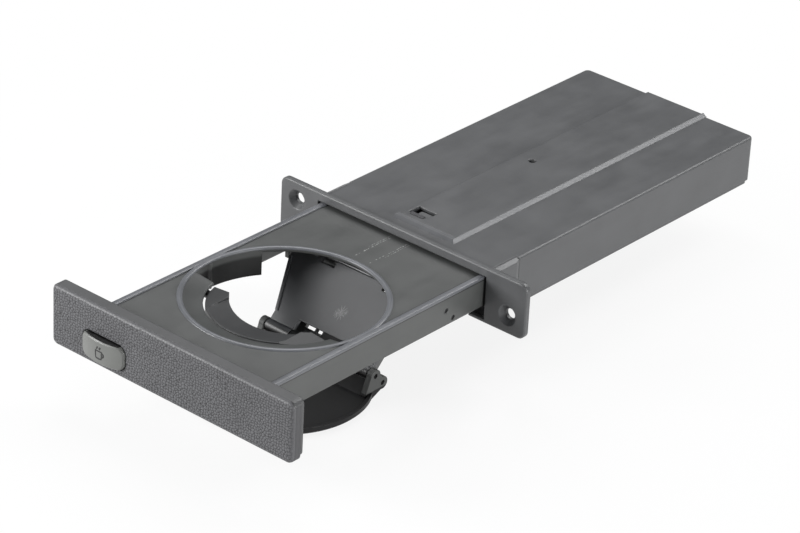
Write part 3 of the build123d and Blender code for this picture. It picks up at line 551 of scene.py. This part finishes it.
def placed(name: str, data: bpy.types.ID) -> bpy.types.Object:
    """Makes an object and links it to the scene.

    Args:
        name: The object's name.
        data: Its mesh, lamp or camera.

    Returns:
        The new object.
    """
    thing = bpy.data.objects.new(name, data)
    bpy.context.scene.collection.objects.link(thing)
    return thing


def new_piece(name: str, body: str, slot: str, points: Array, faces: list | Array,
              smooth: bool = True) -> bpy.types.Object:
    """Makes a mesh object from arrays, with doubles merged and normals outwards, riding on a body.

    Args:
        name: The piece's name.
        body: CAD body that carries it.
        slot: Material slot of the record; not used.
        points: Vertices, one row each, in metres.
        faces: Faces as rows of vertex numbers.
        smooth: Whether faces are shaded smooth.

    Returns:
        The new object.
    """
    mesh = bpy.data.meshes.new(name)
    mesh.from_pydata(points, [], faces if isinstance(faces, list) else faces.tolist())
    shell = bmesh.new()
    shell.from_mesh(mesh)
    bmesh.ops.remove_doubles(shell, verts=shell.verts, dist=1e-7)
    bmesh.ops.recalc_face_normals(shell, faces=shell.faces)
    shell.to_mesh(mesh)
    shell.free()
    mesh.shade_smooth() if smooth else mesh.shade_flat()
    thing = placed(name, mesh)
    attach(thing, body)
    LOG.info("built %s on %s with %d faces", name, body, len(mesh.polygons))
    return thing


def grid_faces(rows: int, columns: int, wrap_rows: bool, wrap_columns: bool) -> Array:
    """Quads of a grid of points numbered row by row.

    Args:
        rows: Number of rows.
        columns: Number of columns.
        wrap_rows: Whether the last row joins the first.
        wrap_columns: Whether the last column joins the first.

    Returns:
        One row of four vertex numbers for each quad.
    """
    r = np.arange(rows if wrap_rows else rows - 1)
    c = np.arange(columns if wrap_columns else columns - 1)
    r, c = (a.ravel() for a in np.meshgrid(r, c, indexing="ij"))
    r1, c1 = (r + 1) % rows, (c + 1) % columns
    return np.stack([r * columns + c, r * columns + c1, r1 * columns + c1, r1 * columns + c], 1)


def tube_faces(rows: int, columns: int) -> list:
    """Quads of a tube of closed rows, with one flat face over each end.

    Args:
        rows: Number of rows.
        columns: Number of points in a row.

    Returns:
        Lists of vertex numbers.
    """
    last = (rows - 1) * columns
    caps = [list(range(columns)), list(range(last, last + columns))]
    return grid_faces(rows, columns, False, True).tolist() + caps


def stacked(*parts: Array | float) -> Array:
    """Makes points from X, Y and Z, which are broadcast to one shape."""
    return np.stack(np.broadcast_arrays(*parts), -1)


def carried_profile(path: Array, across: Array, outward: Array, half_width: float, half_height: float,
                    closed: bool, steps: int = 8) -> tuple[Array, Array]:
    """Ellipse carried along a path: point = path + across * a cos(t) + outward * b sin(t).

    On an open path both ends shrink to a point, which closes them.

    Args:
        path: Points of the path, one row each.
        across: Unit vectors across the path in its surface, one row each.
        outward: Unit vectors out of the surface, one row each.
        half_width: Half of the ellipse's width in metres.
        half_height: Half of its height in metres.
        closed: Whether the path is a loop.
        steps: Points round the ellipse.

    Returns:
        Vertices and quads.
    """
    turn = np.linspace(0, 2 * np.pi, steps, endpoint=False)
    size = np.ones(len(path))
    if not closed:
        size[[0, -1]] = 0.0
    ring = (across[:, None, :] * (half_width * np.cos(turn))[None, :, None]
            + outward[:, None, :] * (half_height * np.sin(turn))[None, :, None])
    points = path[:, None, :] + ring * size[:, None, None]
    return points.reshape(-1, 3), grid_faces(len(path), steps, closed, True)


def joined(parts: list[tuple[Array, Array]]) -> tuple[Array, Array]:
    """Puts several sets of vertices and quads together, with the numbers of later ones moved on."""
    starts = np.cumsum([0] + [len(p) for p, _ in parts[:-1]])
    return np.concatenate([p for p, _ in parts]), np.concatenate([f + s for (_, f), s in zip(parts, starts)])


@dataclass
class Housing:
    """Bezel, sleeve cover, sleeve floor, the raised panel's bevels and the tab in its window."""

    dresser: Dresser
    panel_left: float = -11.5 * MM
    panel_right: float = 19.0 * MM
    panel_front: float = 8.4 * MM
    panel_rear: float = 165.97 * MM
    crest_right: float = 17.45 * MM
    crest_front: float = 9.95 * MM
    inner_right: float = 17.1 * MM
    inner_front: float = 11.9 * MM
    foot: float = 9.4 * MM
    rise: float = 1.1 * MM
    front_rows: int = 24
    side_rows: int = 60

    def dress(self) -> None:
        """Gives the housing's CAD nodes their finishes."""
        self.dresser.dress_nodes(HOUSING, "bezel_flange", "housing_cover", "housing_floor")
        self.dresser.dress_nodes(BAND, "spring_band")

    def bevels(self) -> None:
        """Makes the panel's sloped front and right borders as one strip with a mitred corner.

        The section runs from the foot outside, up the slope and over the rounded crest to a foot
        inside: height = foot + rise * s on the slope, for a share s from the foot to the crest.
        """
        shares = np.array([0.0, 0.0, 0.25, 0.5, 0.75, 0.93, 1.0])
        lifts = np.array([-0.35, 0.0, 0.25, 0.5, 0.75, 0.935, 1.006, 1.006, -0.35])
        along_x = np.append(self.panel_right + (self.crest_right - self.panel_right) * shares,
                            [self.inner_right] * 2)
        along_y = np.append(self.panel_front + (self.crest_front - self.panel_front) * shares,
                            [self.inner_front] * 2)
        height = self.foot + self.rise * lifts
        front_x = self.panel_left + (along_x - self.panel_left) * np.linspace(0, 1, self.front_rows)[:, None]
        side_y = along_y + (self.panel_rear - along_y) * np.linspace(0, 1, self.side_rows)[1:, None]
        rows = np.concatenate([stacked(front_x, along_y, height), stacked(along_x, side_y, height)])
        thing = new_piece("panel_bevels", "housing", "housing_plastic", rows.reshape(-1, 3),
                          tube_faces(*rows.shape[:2]), smooth=False)
        # the bevels' paler colour is painted sheen
        self.dresser.dress(thing, BEVEL)

    def window_tab(self) -> None:
        """Makes the tab that fills the window's front right part, so that an L of it stays open.

        The tab's outline is a rectangle with its free corner rounded: points at
        (cx + r cos t, cy + r sin t) for t from 90 to 180 degrees.
        """
        left, right, front, rear = -5.6 * MM, 0.2 * MM, 14.8 * MM, 18.6 * MM
        turn = np.linspace(np.pi / 2, np.pi, 7)
        radius = 0.8 * MM
        corner = np.stack([left + radius + radius * np.cos(turn), rear - radius + radius * np.sin(turn)], 1)
        outline = np.concatenate([[(right, front), (right, rear)], corner, [(left, front)]])
        top, low = self.foot + self.rise - 0.02 * MM, self.foot + self.rise - 1.3 * MM
        soft = 0.12 * MM
        middle = outline.mean(0)
        levels = [(low, 0.0), (top - soft, 0.0), (top, soft)]
        rows = [stacked(*(outline + np.sign(middle - outline) * inward).T, z) for z, inward in levels]
        thing = new_piece("window_tab", "housing", "housing_plastic", np.concatenate(rows),
                          tube_faces(len(levels), len(outline)), smooth=False)
        self.dresser.dress(thing, HOUSING)


@dataclass
class Drawer:
    """Drawer tray with what is fixed to it."""

    dresser: Dresser

    def dress(self) -> None:
        """Gives the CAD nodes of the drawer, the latch and the damper their finishes."""
        self.dresser.dress_nodes(DRAWER, "drawer_tray")
        self.dresser.dress_nodes(PANEL, "face_panel")
        self.dresser.dress_nodes(DAMPER, "damper_body")
        self.dresser.dress_nodes(GEAR, "damper_gear")
        self.dresser.dress_nodes(SPRING, "button_spring")
        self.dresser.dress_nodes(PIN, "latch_pin", "reel_pin", "upper_rod_front", "upper_rod_rear")
        self.dresser.dress_nodes(MOVING, "latch_lever")


@dataclass
class DeckEdges:
    """Rounded lips along the deck's sides and the rounded bead round the cup ring, in a paler plastic that is
    a painted highlight.
    """

    dresser: Dresser
    inner: float = 38.6 * MM
    outer: float = 41.13 * MM
    low: float = 6.3 * MM
    deck: float = 6.9 * MM
    top: float = 7.63 * MM
    front: float = -118.5 * MM
    rear: float = 41.9 * MM
    ring_y: float = -64.0 * MM
    bead_radius: float = 38.62 * MM
    bead_half: tuple[float, float] = (1.12 * MM, 0.66 * MM)
    bead_level: float = 6.97 * MM
    lip_rows: int = 50

    def lip(self, side: int) -> tuple[Array, Array]:
        """One lip: a rounded section x(t) = m + a cos t, z(t) = deck + b sin(t), drawn along Y.

        The arc runs from the outer side over the top to the inner side, and the exponent 0.6 on
        sine and cosine squares it up, so that it covers the solid's lip.

        Args:
            side: 1 for the right lip and -1 for the left one.

        Returns:
            Vertices and quads.
        """
        turn = np.linspace(0, np.pi, 15)
        middle, half = (self.inner + self.outer) / 2, (self.outer - self.inner) / 2
        x = middle + half * np.sign(np.cos(turn)) * np.abs(np.cos(turn)) ** 0.6
        z = self.deck + (self.top - self.deck) * np.sin(turn) ** 0.6
        x, z = np.concatenate([[self.outer], x, [self.inner]]), np.concatenate([[self.low], z, [self.low]])
        points = stacked(side * x, np.linspace(self.front, self.rear, self.lip_rows)[:, None], z)
        ends = np.broadcast_to(points[[0, -1]].mean(1, keepdims=True), (2, *points.shape[1:]))
        points = np.concatenate([ends[:1], points, ends[1:]])
        return points.reshape(-1, 3), grid_faces(len(points), len(x), False, True)

    def bead(self) -> tuple[Array, Array]:
        """The ring's bead: an ellipse carried round a circle about the cup's axis.

        Returns:
            Vertices and quads.
        """
        turn = np.linspace(0, 2 * np.pi, 160, endpoint=False)
        outward = stacked(np.cos(turn), np.sin(turn), 0.0)
        path = outward * self.bead_radius + np.array([0.0, self.ring_y, self.bead_level])
        upward = np.broadcast_to(np.array([0.0, 0.0, 1.0]), path.shape)
        return carried_profile(path, outward, upward, *self.bead_half, closed=True, steps=14)

    def build(self) -> None:
        """Makes both lips and the bead."""
        lips = new_piece("deck_lips", "drawer", "drawer_plastic", *joined([self.lip(1), self.lip(-1)]))
        ring = new_piece("ring_bead", "drawer", "drawer_plastic", *self.bead())
        # the lips and bead get a paler copy of the drawer plastic: painted highlight
        self.dresser.dress(lips, LIP_HIGHLIGHT)
        self.dresser.dress(ring, LIP_HIGHLIGHT)


@dataclass
class FaceSkin:
    """Grained skin over the face panel's front, rolled back at its edges, with the button's hole.

    The front is a grid over the panel. A point at a distance s inside the rounded outline lies at
    y = front + r - sqrt(r^2 - (r - s)^2) within r of the edge, and the grain raises it by cell walls
    of a jittered pattern.
    """

    dresser: Dresser
    half_width: float = 60.05 * MM
    bottom: float = -12.7 * MM
    top: float = 12.29 * MM
    corner: float = 2.6 * MM
    roll: float = 1.6 * MM
    front: float = -124.3 * MM
    back: float = -119.7 * MM
    step: float = 0.25 * MM
    cell: float = 1.32 * MM
    grain: float = 0.17 * MM
    crease: float = 0.34
    smooth_grain: float = 0.62
    hole_x: float = -32.7 * MM
    hole_z: float = -4.4 * MM
    hole_half: tuple[float, float] = (10.97 * MM, 5.07 * MM)
    hole_corner: float = 3.45 * MM
    hole_smooth: float = 0.5 * MM
    hole_round: float = 0.35 * MM
    hole_drop: float = 0.18 * MM

    def edge_distance(self, x: Array, z: Array, half: tuple[float, float], corner: float) -> Array:
        """Signed distance to a rounded rectangle about the origin, negative inside.

        Args:
            x: Places along X.
            z: Places along Z.
            half: Half-sizes along X and Z.
            corner: Corner radius.

        Returns:
            The distances.
        """
        qx, qz = np.abs(x) - half[0] + corner, np.abs(z) - half[1] + corner
        outside = np.hypot(np.maximum(qx, 0), np.maximum(qz, 0))
        return outside + np.minimum(np.maximum(qx, qz), 0) - corner

    def distance_and_slopes(self, x: Array, z: Array, half: tuple[float, float],
                            corner: float) -> tuple[Array, Array, Array]:
        """Signed distance to a rounded rectangle, and its slopes along X and Z by a small step.

        Args:
            x: Places along X.
            z: Places along Z.
            half: Half-sizes along X and Z.
            corner: Corner radius.

        Returns:
            The distances and both slopes.
        """
        step = 1e-6
        here = self.edge_distance(x, z, half, corner)
        slope_x = (self.edge_distance(x + step, z, half, corner) - here) / step
        return here, slope_x, (self.edge_distance(x, z + step, half, corner) - here) / step

    def lines(self, low: float, high: float) -> Array:
        """Grid lines from low to high: even steps with finer ones where the edge rolls back.

        Args:
            low: First line.
            high: Last line.

        Returns:
            Places of the lines.
        """
        near = self.roll - self.roll * np.cos(np.linspace(0, np.pi / 2, 11))[:-1]
        count = int(round((high - low - 2 * self.roll) / self.step))
        middle = np.linspace(low + self.roll, high - self.roll, count + 1)
        return np.concatenate([low + near, middle, (high - near)[::-1]])

    def grain_height(self, x: Array, z: Array) -> Array:
        """Leather grain from 0 in the creases to 1 on the pebbles.

        Seeds sit at jittered points of a square grid, and the height is a smooth step of the
        difference between the distances to the second nearest and the nearest seed.

        Args:
            x: Places along X.
            z: Places along Z.

        Returns:
            Heights from 0 to 1.
        """
        rng = np.random.default_rng(7)
        count = 160
        jitter = rng.uniform(0.12, 0.88, (count, count, 2))
        stretch = 0.82
        gx, gz = x / self.cell + 70, z / (self.cell * stretch) + 30
        ix, iz = np.floor(gx).astype(int), np.floor(gz).astype(int)
        nearest = second = np.full(x.shape, 9.0)
        for dx in (-1, 0, 1):
            for dz in (-1, 0, 1):
                cx, cz = np.clip(ix + dx, 0, count - 1), np.clip(iz + dz, 0, count - 1)
                seed = jitter[cx, cz]
                gap = np.hypot(gx - cx - seed[..., 0], (gz - cz - seed[..., 1]) * stretch)
                second = np.minimum(second, np.maximum(nearest, gap))
                nearest = np.minimum(nearest, gap)
        wall = np.clip((second - nearest) / self.crease, 0, 1)
        return wall * wall * (3 - 2 * wall)

    def build(self) -> None:
        """Makes the skin: its front sheet here and its sides and back in closed()."""
        middle = (self.top + self.bottom) / 2
        half = (self.half_width, (self.top - self.bottom) / 2)
        xs, zs = self.lines(-half[0], half[0]), self.lines(-half[1], half[1])
        x, z = np.meshgrid(xs, zs, indexing="ij")
        outer, slope_x, slope_z = self.distance_and_slopes(x, z, half, self.corner)
        beyond = np.maximum(outer, 0)
        x, z = x - slope_x * beyond, z - slope_z * beyond
        inside = np.clip(-self.edge_distance(x, z, half, self.corner), 0, self.roll)
        y = self.front + self.roll - np.sqrt(np.maximum(self.roll ** 2 - (self.roll - inside) ** 2, 0))
        z = z + middle
        hole, grow_x, grow_z = self.distance_and_slopes(x - self.hole_x, z - self.hole_z, self.hole_half,
                                                        self.hole_corner)
        keep = hole[:-1, :-1] + hole[1:, :-1] + hole[:-1, 1:] + hole[1:, 1:] > 0
        used, gone = np.zeros(x.shape, bool), np.zeros(x.shape, bool)
        for di, dj in ((0, 0), (1, 0), (0, 1), (1, 1)):
            view = (slice(di, di + keep.shape[0]), slice(dj, dj + keep.shape[1]))
            used[view] |= keep
            gone[view] |= ~keep
        rim = used & gone
        x = np.where(rim, x - grow_x * hole, x)
        z = np.where(rim, z - grow_z * hole, z)
        hole = np.where(rim, 0.0, hole)
        fade = np.clip(inside / self.roll, 0, 1) * np.clip(hole / self.hole_smooth, 0, 1)
        height = self.grain_height(x, z)
        y = y - self.grain * (height - 0.5) * fade * (0.35 + 0.65 * fade)
        ease = np.clip(1 - np.maximum(hole, 0) / self.hole_round, 0, 1)
        y = y + self.hole_drop * ease ** 2
        points = np.stack([x, y, z], -1).reshape(-1, 3)
        faces = grid_faces(len(xs), len(zs), False, False)[keep.ravel()]
        self.closed(points, faces, (self.smooth_grain + (height - self.smooth_grain) * fade).ravel())

    def closed(self, points: Array, faces: Array, height: Array) -> None:
        """Closes the sheet to a slab that holds the CAD panel, with smooth ends and a flat back.

        Args:
            points: Vertices of the front.
            faces: Quads of the front.
            height: Grain height at each vertex, kept as the attribute "grain".
        """
        used = np.unique(faces)
        number = np.full(len(points), -1)
        number[used] = np.arange(len(used))
        mesh = bpy.data.meshes.new("face_skin")
        mesh.from_pydata(points[used], [], number[faces].tolist())
        mesh.attributes.new("grain", "FLOAT", "POINT").data.foreach_set("value", height[used])
        shell = bmesh.new()
        shell.from_mesh(mesh)
        layer = shell.verts.layers.float["grain"]
        bmesh.ops.remove_doubles(shell, verts=shell.verts, dist=1e-7)
        bmesh.ops.dissolve_degenerate(shell, edges=shell.edges, dist=1e-8)
        rim = [e for e in shell.edges if e.is_boundary]
        for depth in (self.front + self.roll + 0.25 * MM, self.back):
            grown = bmesh.ops.extrude_edge_only(shell, edges=rim)["geom"]
            for vertex in (g for g in grown if isinstance(g, bmesh.types.BMVert)):
                vertex.co.y = depth
                vertex[layer] = -1.0
            rim = [g for g in grown if isinstance(g, bmesh.types.BMEdge) and g.is_boundary]
        bmesh.ops.triangle_fill(shell, edges=rim, use_beauty=False, use_dissolve=False)
        bmesh.ops.recalc_face_normals(shell, faces=shell.faces)
        open_edges = sum(1 for e in shell.edges if not e.is_manifold)
        shell.to_mesh(mesh)
        shell.free()
        mesh.shade_smooth()
        thing = placed("face_skin", mesh)
        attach(thing, "drawer")
        self.dresser.dress(thing, FACE)
        LOG.info("built face_skin with %d faces and %d open edges", len(mesh.polygons), open_edges)


@dataclass
class PushButton:
    """Domed button cap and the raised cup pictogram on it."""

    dresser: Dresser
    centre_x: float = -32.7 * MM
    dome: float = 26.0 * MM
    tip: float = -127.3 * MM
    mark_x: float = -32.6 * MM
    mark_z: float = -4.5 * MM
    stroke: float = 0.33 * MM
    rise: float = 0.08 * MM

    def surface(self, x: Array) -> Array:
        """Depth of the cap's dome: y = tip + R - sqrt(R^2 - (x - centre)^2)."""
        return self.tip + self.dome - np.sqrt(self.dome ** 2 - (x - self.centre_x) ** 2)

    def stroke_on_dome(self, points: list[tuple[float, float]], closed: bool) -> tuple[Array, Array]:
        """One raised line on the dome.

        The corner points, in millimetres about the mark's middle, are joined by runs of even steps,
        and each point is laid on the dome.

        Args:
            points: Corners as (x, z).
            closed: Whether the line is a loop.

        Returns:
            Vertices and quads.
        """
        corners = np.array(points + points[:1] if closed else points) * MM
        along = np.concatenate([[0], np.cumsum(np.hypot(*np.diff(corners, axis=0).T))])
        places = np.linspace(0, along[-1], 44)
        x = np.interp(places, along, corners[:, 0]) + self.mark_x
        z = np.interp(places, along, corners[:, 1]) + self.mark_z
        if closed:
            x, z = x[:-1], z[:-1]
        path = stacked(x, self.surface(x), z)
        ahead = np.roll(path, -1, 0) - np.roll(path, 1, 0)
        if not closed:
            ahead[0], ahead[-1] = path[1] - path[0], path[-1] - path[-2]
        tangent = ahead / np.linalg.norm(ahead, axis=1)[:, None]
        lean = (x - self.centre_x) / self.dome
        outward = stacked(lean, -np.sqrt(1 - lean ** 2), 0.0)
        across = np.cross(outward, tangent)
        return carried_profile(path, across, outward, self.stroke, self.rise, closed)

    def build(self) -> None:
        """Makes the pictogram: a mug's body, its handle, its rim and two wisps above it.

        Its crest is cut flat at the dome's tip, which is the foremost point of the part.
        """
        turn = np.linspace(-0.5 * np.pi, 0.5 * np.pi, 9)
        handle = [(1.5 + 0.9 * math.cos(t), -0.5 + 0.85 * math.sin(t)) for t in turn]
        lines = [
            ([(-1.6, 0.75), (-1.45, -1.9), (-1.1, -2.3), (1.1, -2.3), (1.45, -1.9), (1.6, 0.75)], True),
            (handle, False),
            ([(-0.7, 1.35), (-0.95, 1.75), (-0.5, 2.15), (-0.75, 2.6)], False),
            ([(0.6, 1.35), (0.35, 1.75), (0.8, 2.15), (0.55, 2.6)], False),
        ]
        points, faces = joined([self.stroke_on_dome(corners, closed) for corners, closed in lines])
        points[:, 1] = np.maximum(points[:, 1], self.tip)
        thing = new_piece("cup_pictogram", "button", "button_plastic", points, faces)
        self.dresser.dress(thing, MARK)

    def dress(self) -> None:
        """Gives the cap its finish."""
        self.dresser.dress_nodes(BUTTON, "push_button")


@dataclass
class Support:
    """Folding cup support: two links, the base with its rods, and the flap in the ring."""

    dresser: Dresser
    pivot: tuple[float, float] = (-20.6 * MM, 1.1 * MM)
    lean: float = math.radians(45)
    bar_half: float = 0.6 * MM
    bar_bevel: float = 0.2 * MM

    def bar(self) -> None:
        """Makes the comb-shaped bar in the front link's notch, dark with the base's painted shade.

        A point (x, s) of the outline, s along the link from its upper rod, lies at
        y = py - s cos(lean) and z = pz - s sin(lean), and the bar is drawn out to both sides.
        """
        outline = np.array([(-9.6, 30.2), (13.9, 30.2), (13.9, 26.6), (-1.8, 26.6), (-1.8, 29.2),
                            (-4.2, 29.2), (-4.2, 26.6), (-5.4, 26.6), (-5.4, 29.2), (-9.6, 29.2)]) * MM
        down = np.array([0.0, -math.cos(self.lean), -math.sin(self.lean)])
        normal = np.array([0.0, -math.sin(self.lean), math.cos(self.lean)])
        across = np.array([1.0, 0.0, 0.0])
        middle = outline[:, :1] * across + outline[:, 1:] * down + np.array([0.0, *self.pivot])
        points = np.concatenate([middle - normal * self.bar_half, middle + normal * self.bar_half])
        thing = new_piece("link_bar", "front_link", "drawer_plastic", points, tube_faces(2, len(outline)),
                          smooth=False)
        bevel = thing.modifiers.new("soft_edges", "BEVEL")
        bevel.width, bevel.segments = self.bar_bevel, 2
        self.dresser.dress(thing, BASE_SHADE)

    def dress(self) -> None:
        """Gives the support's CAD nodes their finishes."""
        self.dresser.dress_nodes(MOVING, "grip_flap")
        self.dresser.dress_nodes(ARM, "rear_link")
        # the cup base's dark colour is painted shade
        self.dresser.dress_nodes(BASE_SHADE, "cup_base")
        self.dresser.dress_nodes(LINK, "link_plate")
        # the rods' near-black colour is painted shade of the holes
        self.dresser.dress_nodes(ROD_SHADE, "lower_rod_front", "lower_rod_rear")


@dataclass
class Reel:
    """Spring reel: the band's wound turns on a hub.

    The band's middle line is the spiral r = inner + pitch * turns, and its section is a flat strip.
    """

    dresser: Dresser
    x: float = -4.5 * MM
    y: float = 34.0 * MM
    z: float = 2.85 * MM
    inner: float = 2.1 * MM
    outer: float = 5.14 * MM
    half_width: float = 3.2 * MM
    thickness: float = 0.16 * MM
    turns: float = 11.0
    hub: float = 2.1 * MM
    bore: float = 1.25 * MM
    hub_beyond: float = 0.35 * MM
    rows_a_turn: int = 30

    def build(self) -> None:
        """Makes the wound band and its hub, which stand for the reel's solid."""
        turn = np.linspace(0, 2 * np.pi * self.turns, int(self.turns * self.rows_a_turn))
        radius = np.linspace(self.inner, self.outer - self.thickness, len(turn))
        outward = stacked(0.0, np.cos(turn), np.sin(turn))
        path = np.array([self.x, self.y, self.z]) + outward * radius[:, None]
        side = np.array([[1.0, 0.0, 0.0]])
        corners = [(-1, 0), (1, 0), (1, 1), (-1, 1)]
        rings = [path + side * a * self.half_width + outward * b * self.thickness for a, b in corners]
        strip = np.stack(rings, 1)
        strip[0], strip[-1] = strip[0].mean(0), strip[-1].mean(0)
        coil = (strip.reshape(-1, 3), grid_faces(len(turn), 4, False, True))
        angle = np.linspace(0, 2 * np.pi, 40, endpoint=False)
        wide = self.half_width + self.hub_beyond
        section = [(-wide, self.bore), (wide, self.bore), (wide, self.hub), (-wide, self.hub)]
        rows = [stacked(self.x + a, self.y + r * np.cos(angle), self.z + r * np.sin(angle))
                for a, r in section]
        hub = (np.stack(rows, 1).reshape(-1, 3), grid_faces(len(angle), 4, True, True))
        thing = new_piece("reel_coil", "reel", "spring_steel", *joined([coil, hub]), smooth=False)
        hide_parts("spring_reel")
        self.dresser.dress(thing, SPRING)


@dataclass(frozen=True)
class PhotoCamera:
    """Camera fitted to the photograph's edges."""

    azimuth: float = 40.042
    elevation: float = 28.602
    roll: float = 2.94
    distance: float = 1362.5 * MM
    target: tuple[float, float, float] = (4.43 * MM, -4.82 * MM, -0.74 * MM)
    focal_px: float = 3609.6

    def build(self) -> None:
        """Makes the camera and gives it to the scene."""
        a, e, r = (math.radians(v) for v in (self.azimuth, self.elevation, self.roll))
        back = Vector((math.sin(a) * math.cos(e), -math.cos(a) * math.cos(e), math.sin(e)))
        right = Vector((math.cos(a), math.sin(a), 0.0))
        up = back.cross(right)
        turned_right = right * math.cos(r) + up * math.sin(r)
        turned_up = up * math.cos(r) - right * math.sin(r)
        lens = bpy.data.cameras.new("photo_camera")
        lens.sensor_width = SENSOR_MM
        lens.lens = self.focal_px * SENSOR_MM / PHOTO_WIDTH
        lens.clip_start, lens.clip_end = 0.05, 20.0
        camera = placed("photo_camera", lens)
        turn = Matrix((turned_right, turned_up, back)).transposed().to_4x4()
        place = Vector(self.target) + back * self.distance
        camera.matrix_world = Matrix.Translation(place) @ turn
        bpy.context.scene.camera = camera


@dataclass(frozen=True)
class Studio:
    """Pale floor, soft lamps and an even world."""

    floor_gap: float = 0.5 * MM
    floor_half: float = 6.0
    world_strength: float = 0.16
    bounce: float = 0.22

    def floor(self) -> None:
        """Makes the floor: pale, whitening away from the object, with the object's soft shadow.

        Camera, mirror and glass rays see it nearly white, and it throws little light on the object.
        """
        half = self.floor_half
        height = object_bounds()[0].z - self.floor_gap
        mesh = bpy.data.meshes.new("floor")
        corners = [(-half, -half, height), (half, -half, height), (half, half, height), (-half, half, height)]
        mesh.from_pydata(corners, [], [(0, 1, 2, 3)])
        thing = placed("floor", mesh)
        graph = NodeGraph("pale_floor")
        spread = graph.add("ShaderNodeVectorMath", {0: graph.place}, operation="LENGTH")
        far = graph.ramp(spread.outputs["Value"], 0.08, 0.28, 0.86, 1.0, smooth=True)
        rays = graph.add("ShaderNodeLightPath").outputs
        seen = graph.largest([rays[f"Is {kind} Ray"] for kind in ("Camera", "Glossy", "Transmission")])
        colour = graph.blend(seen, (self.bounce,) * 3, (0.9, 0.9, 0.9))
        lit = graph.add("ShaderNodeBsdfDiffuse", {"Color": colour}).outputs["BSDF"]
        glow = graph.add("ShaderNodeEmission").outputs["Emission"]
        mix = graph.add("ShaderNodeMixShader", {0: graph.times(seen, far), 1: lit, 2: glow})
        mesh.materials.append(graph.finished(mix.outputs["Shader"]))
        thing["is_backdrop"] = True

    def world(self) -> None:
        """Makes an even grey light that the camera sees as white."""
        world = bpy.data.worlds.new("studio")
        world.use_nodes = True
        tree = world.node_tree
        tree.nodes.clear()
        mix, path = tree.nodes.new("ShaderNodeMixShader"), tree.nodes.new("ShaderNodeLightPath")
        tree.links.new(path.outputs["Is Camera Ray"], mix.inputs["Fac"])
        lights = (((0.93, 0.96, 1.0, 1.0), self.world_strength), ((1.0, 1.0, 1.0, 1.0), 1.0))
        for number, (colour, strength) in enumerate(lights, 1):
            light = tree.nodes.new("ShaderNodeBackground")
            light.inputs["Color"].default_value = colour
            light.inputs["Strength"].default_value = strength
            tree.links.new(light.outputs["Background"], mix.inputs[number])
        output = tree.nodes.new("ShaderNodeOutputWorld")
        tree.links.new(mix.outputs["Shader"], output.inputs["Surface"])
        bpy.context.scene.world = world

    def lamps(self) -> None:
        """Hangs the soft lamps, each aimed at the drawer's mouth."""
        for lamp in Lamp:
            place, size, power = lamp.value
            data = bpy.data.lights.new(lamp.name.lower(), "AREA")
            data.shape = "SQUARE"
            data.size = size
            data.energy = power
            thing = placed(lamp.name.lower(), data)
            thing.location = place
            thing.rotation_mode = "QUATERNION"
            thing.rotation_quaternion = (Vector(place) * -1).to_track_quat("-Z", "Y")

    def build(self) -> None:
        """Makes the floor, the world and the lamps."""
        self.floor()
        self.world()
        self.lamps()
        bpy.context.scene.view_settings.view_transform = "Standard"


def main() -> None:
    """Builds the scene: camera, the dressed CAD nodes, the new pieces and the studio."""
    logging.basicConfig(level=logging.INFO, format="%(message)s")
    PhotoCamera().build()
    dresser = Dresser({})
    housing = Housing(dresser)
    housing.dress()
    housing.bevels()
    housing.window_tab()
    Drawer(dresser).dress()
    DeckEdges(dresser).build()
    FaceSkin(dresser).build()
    button = PushButton(dresser)
    button.dress()
    button.build()
    support = Support(dresser)
    support.dress()
    support.bar()
    Reel(dresser).build()
    Studio().build()


if __name__ == "__main__":
    main()
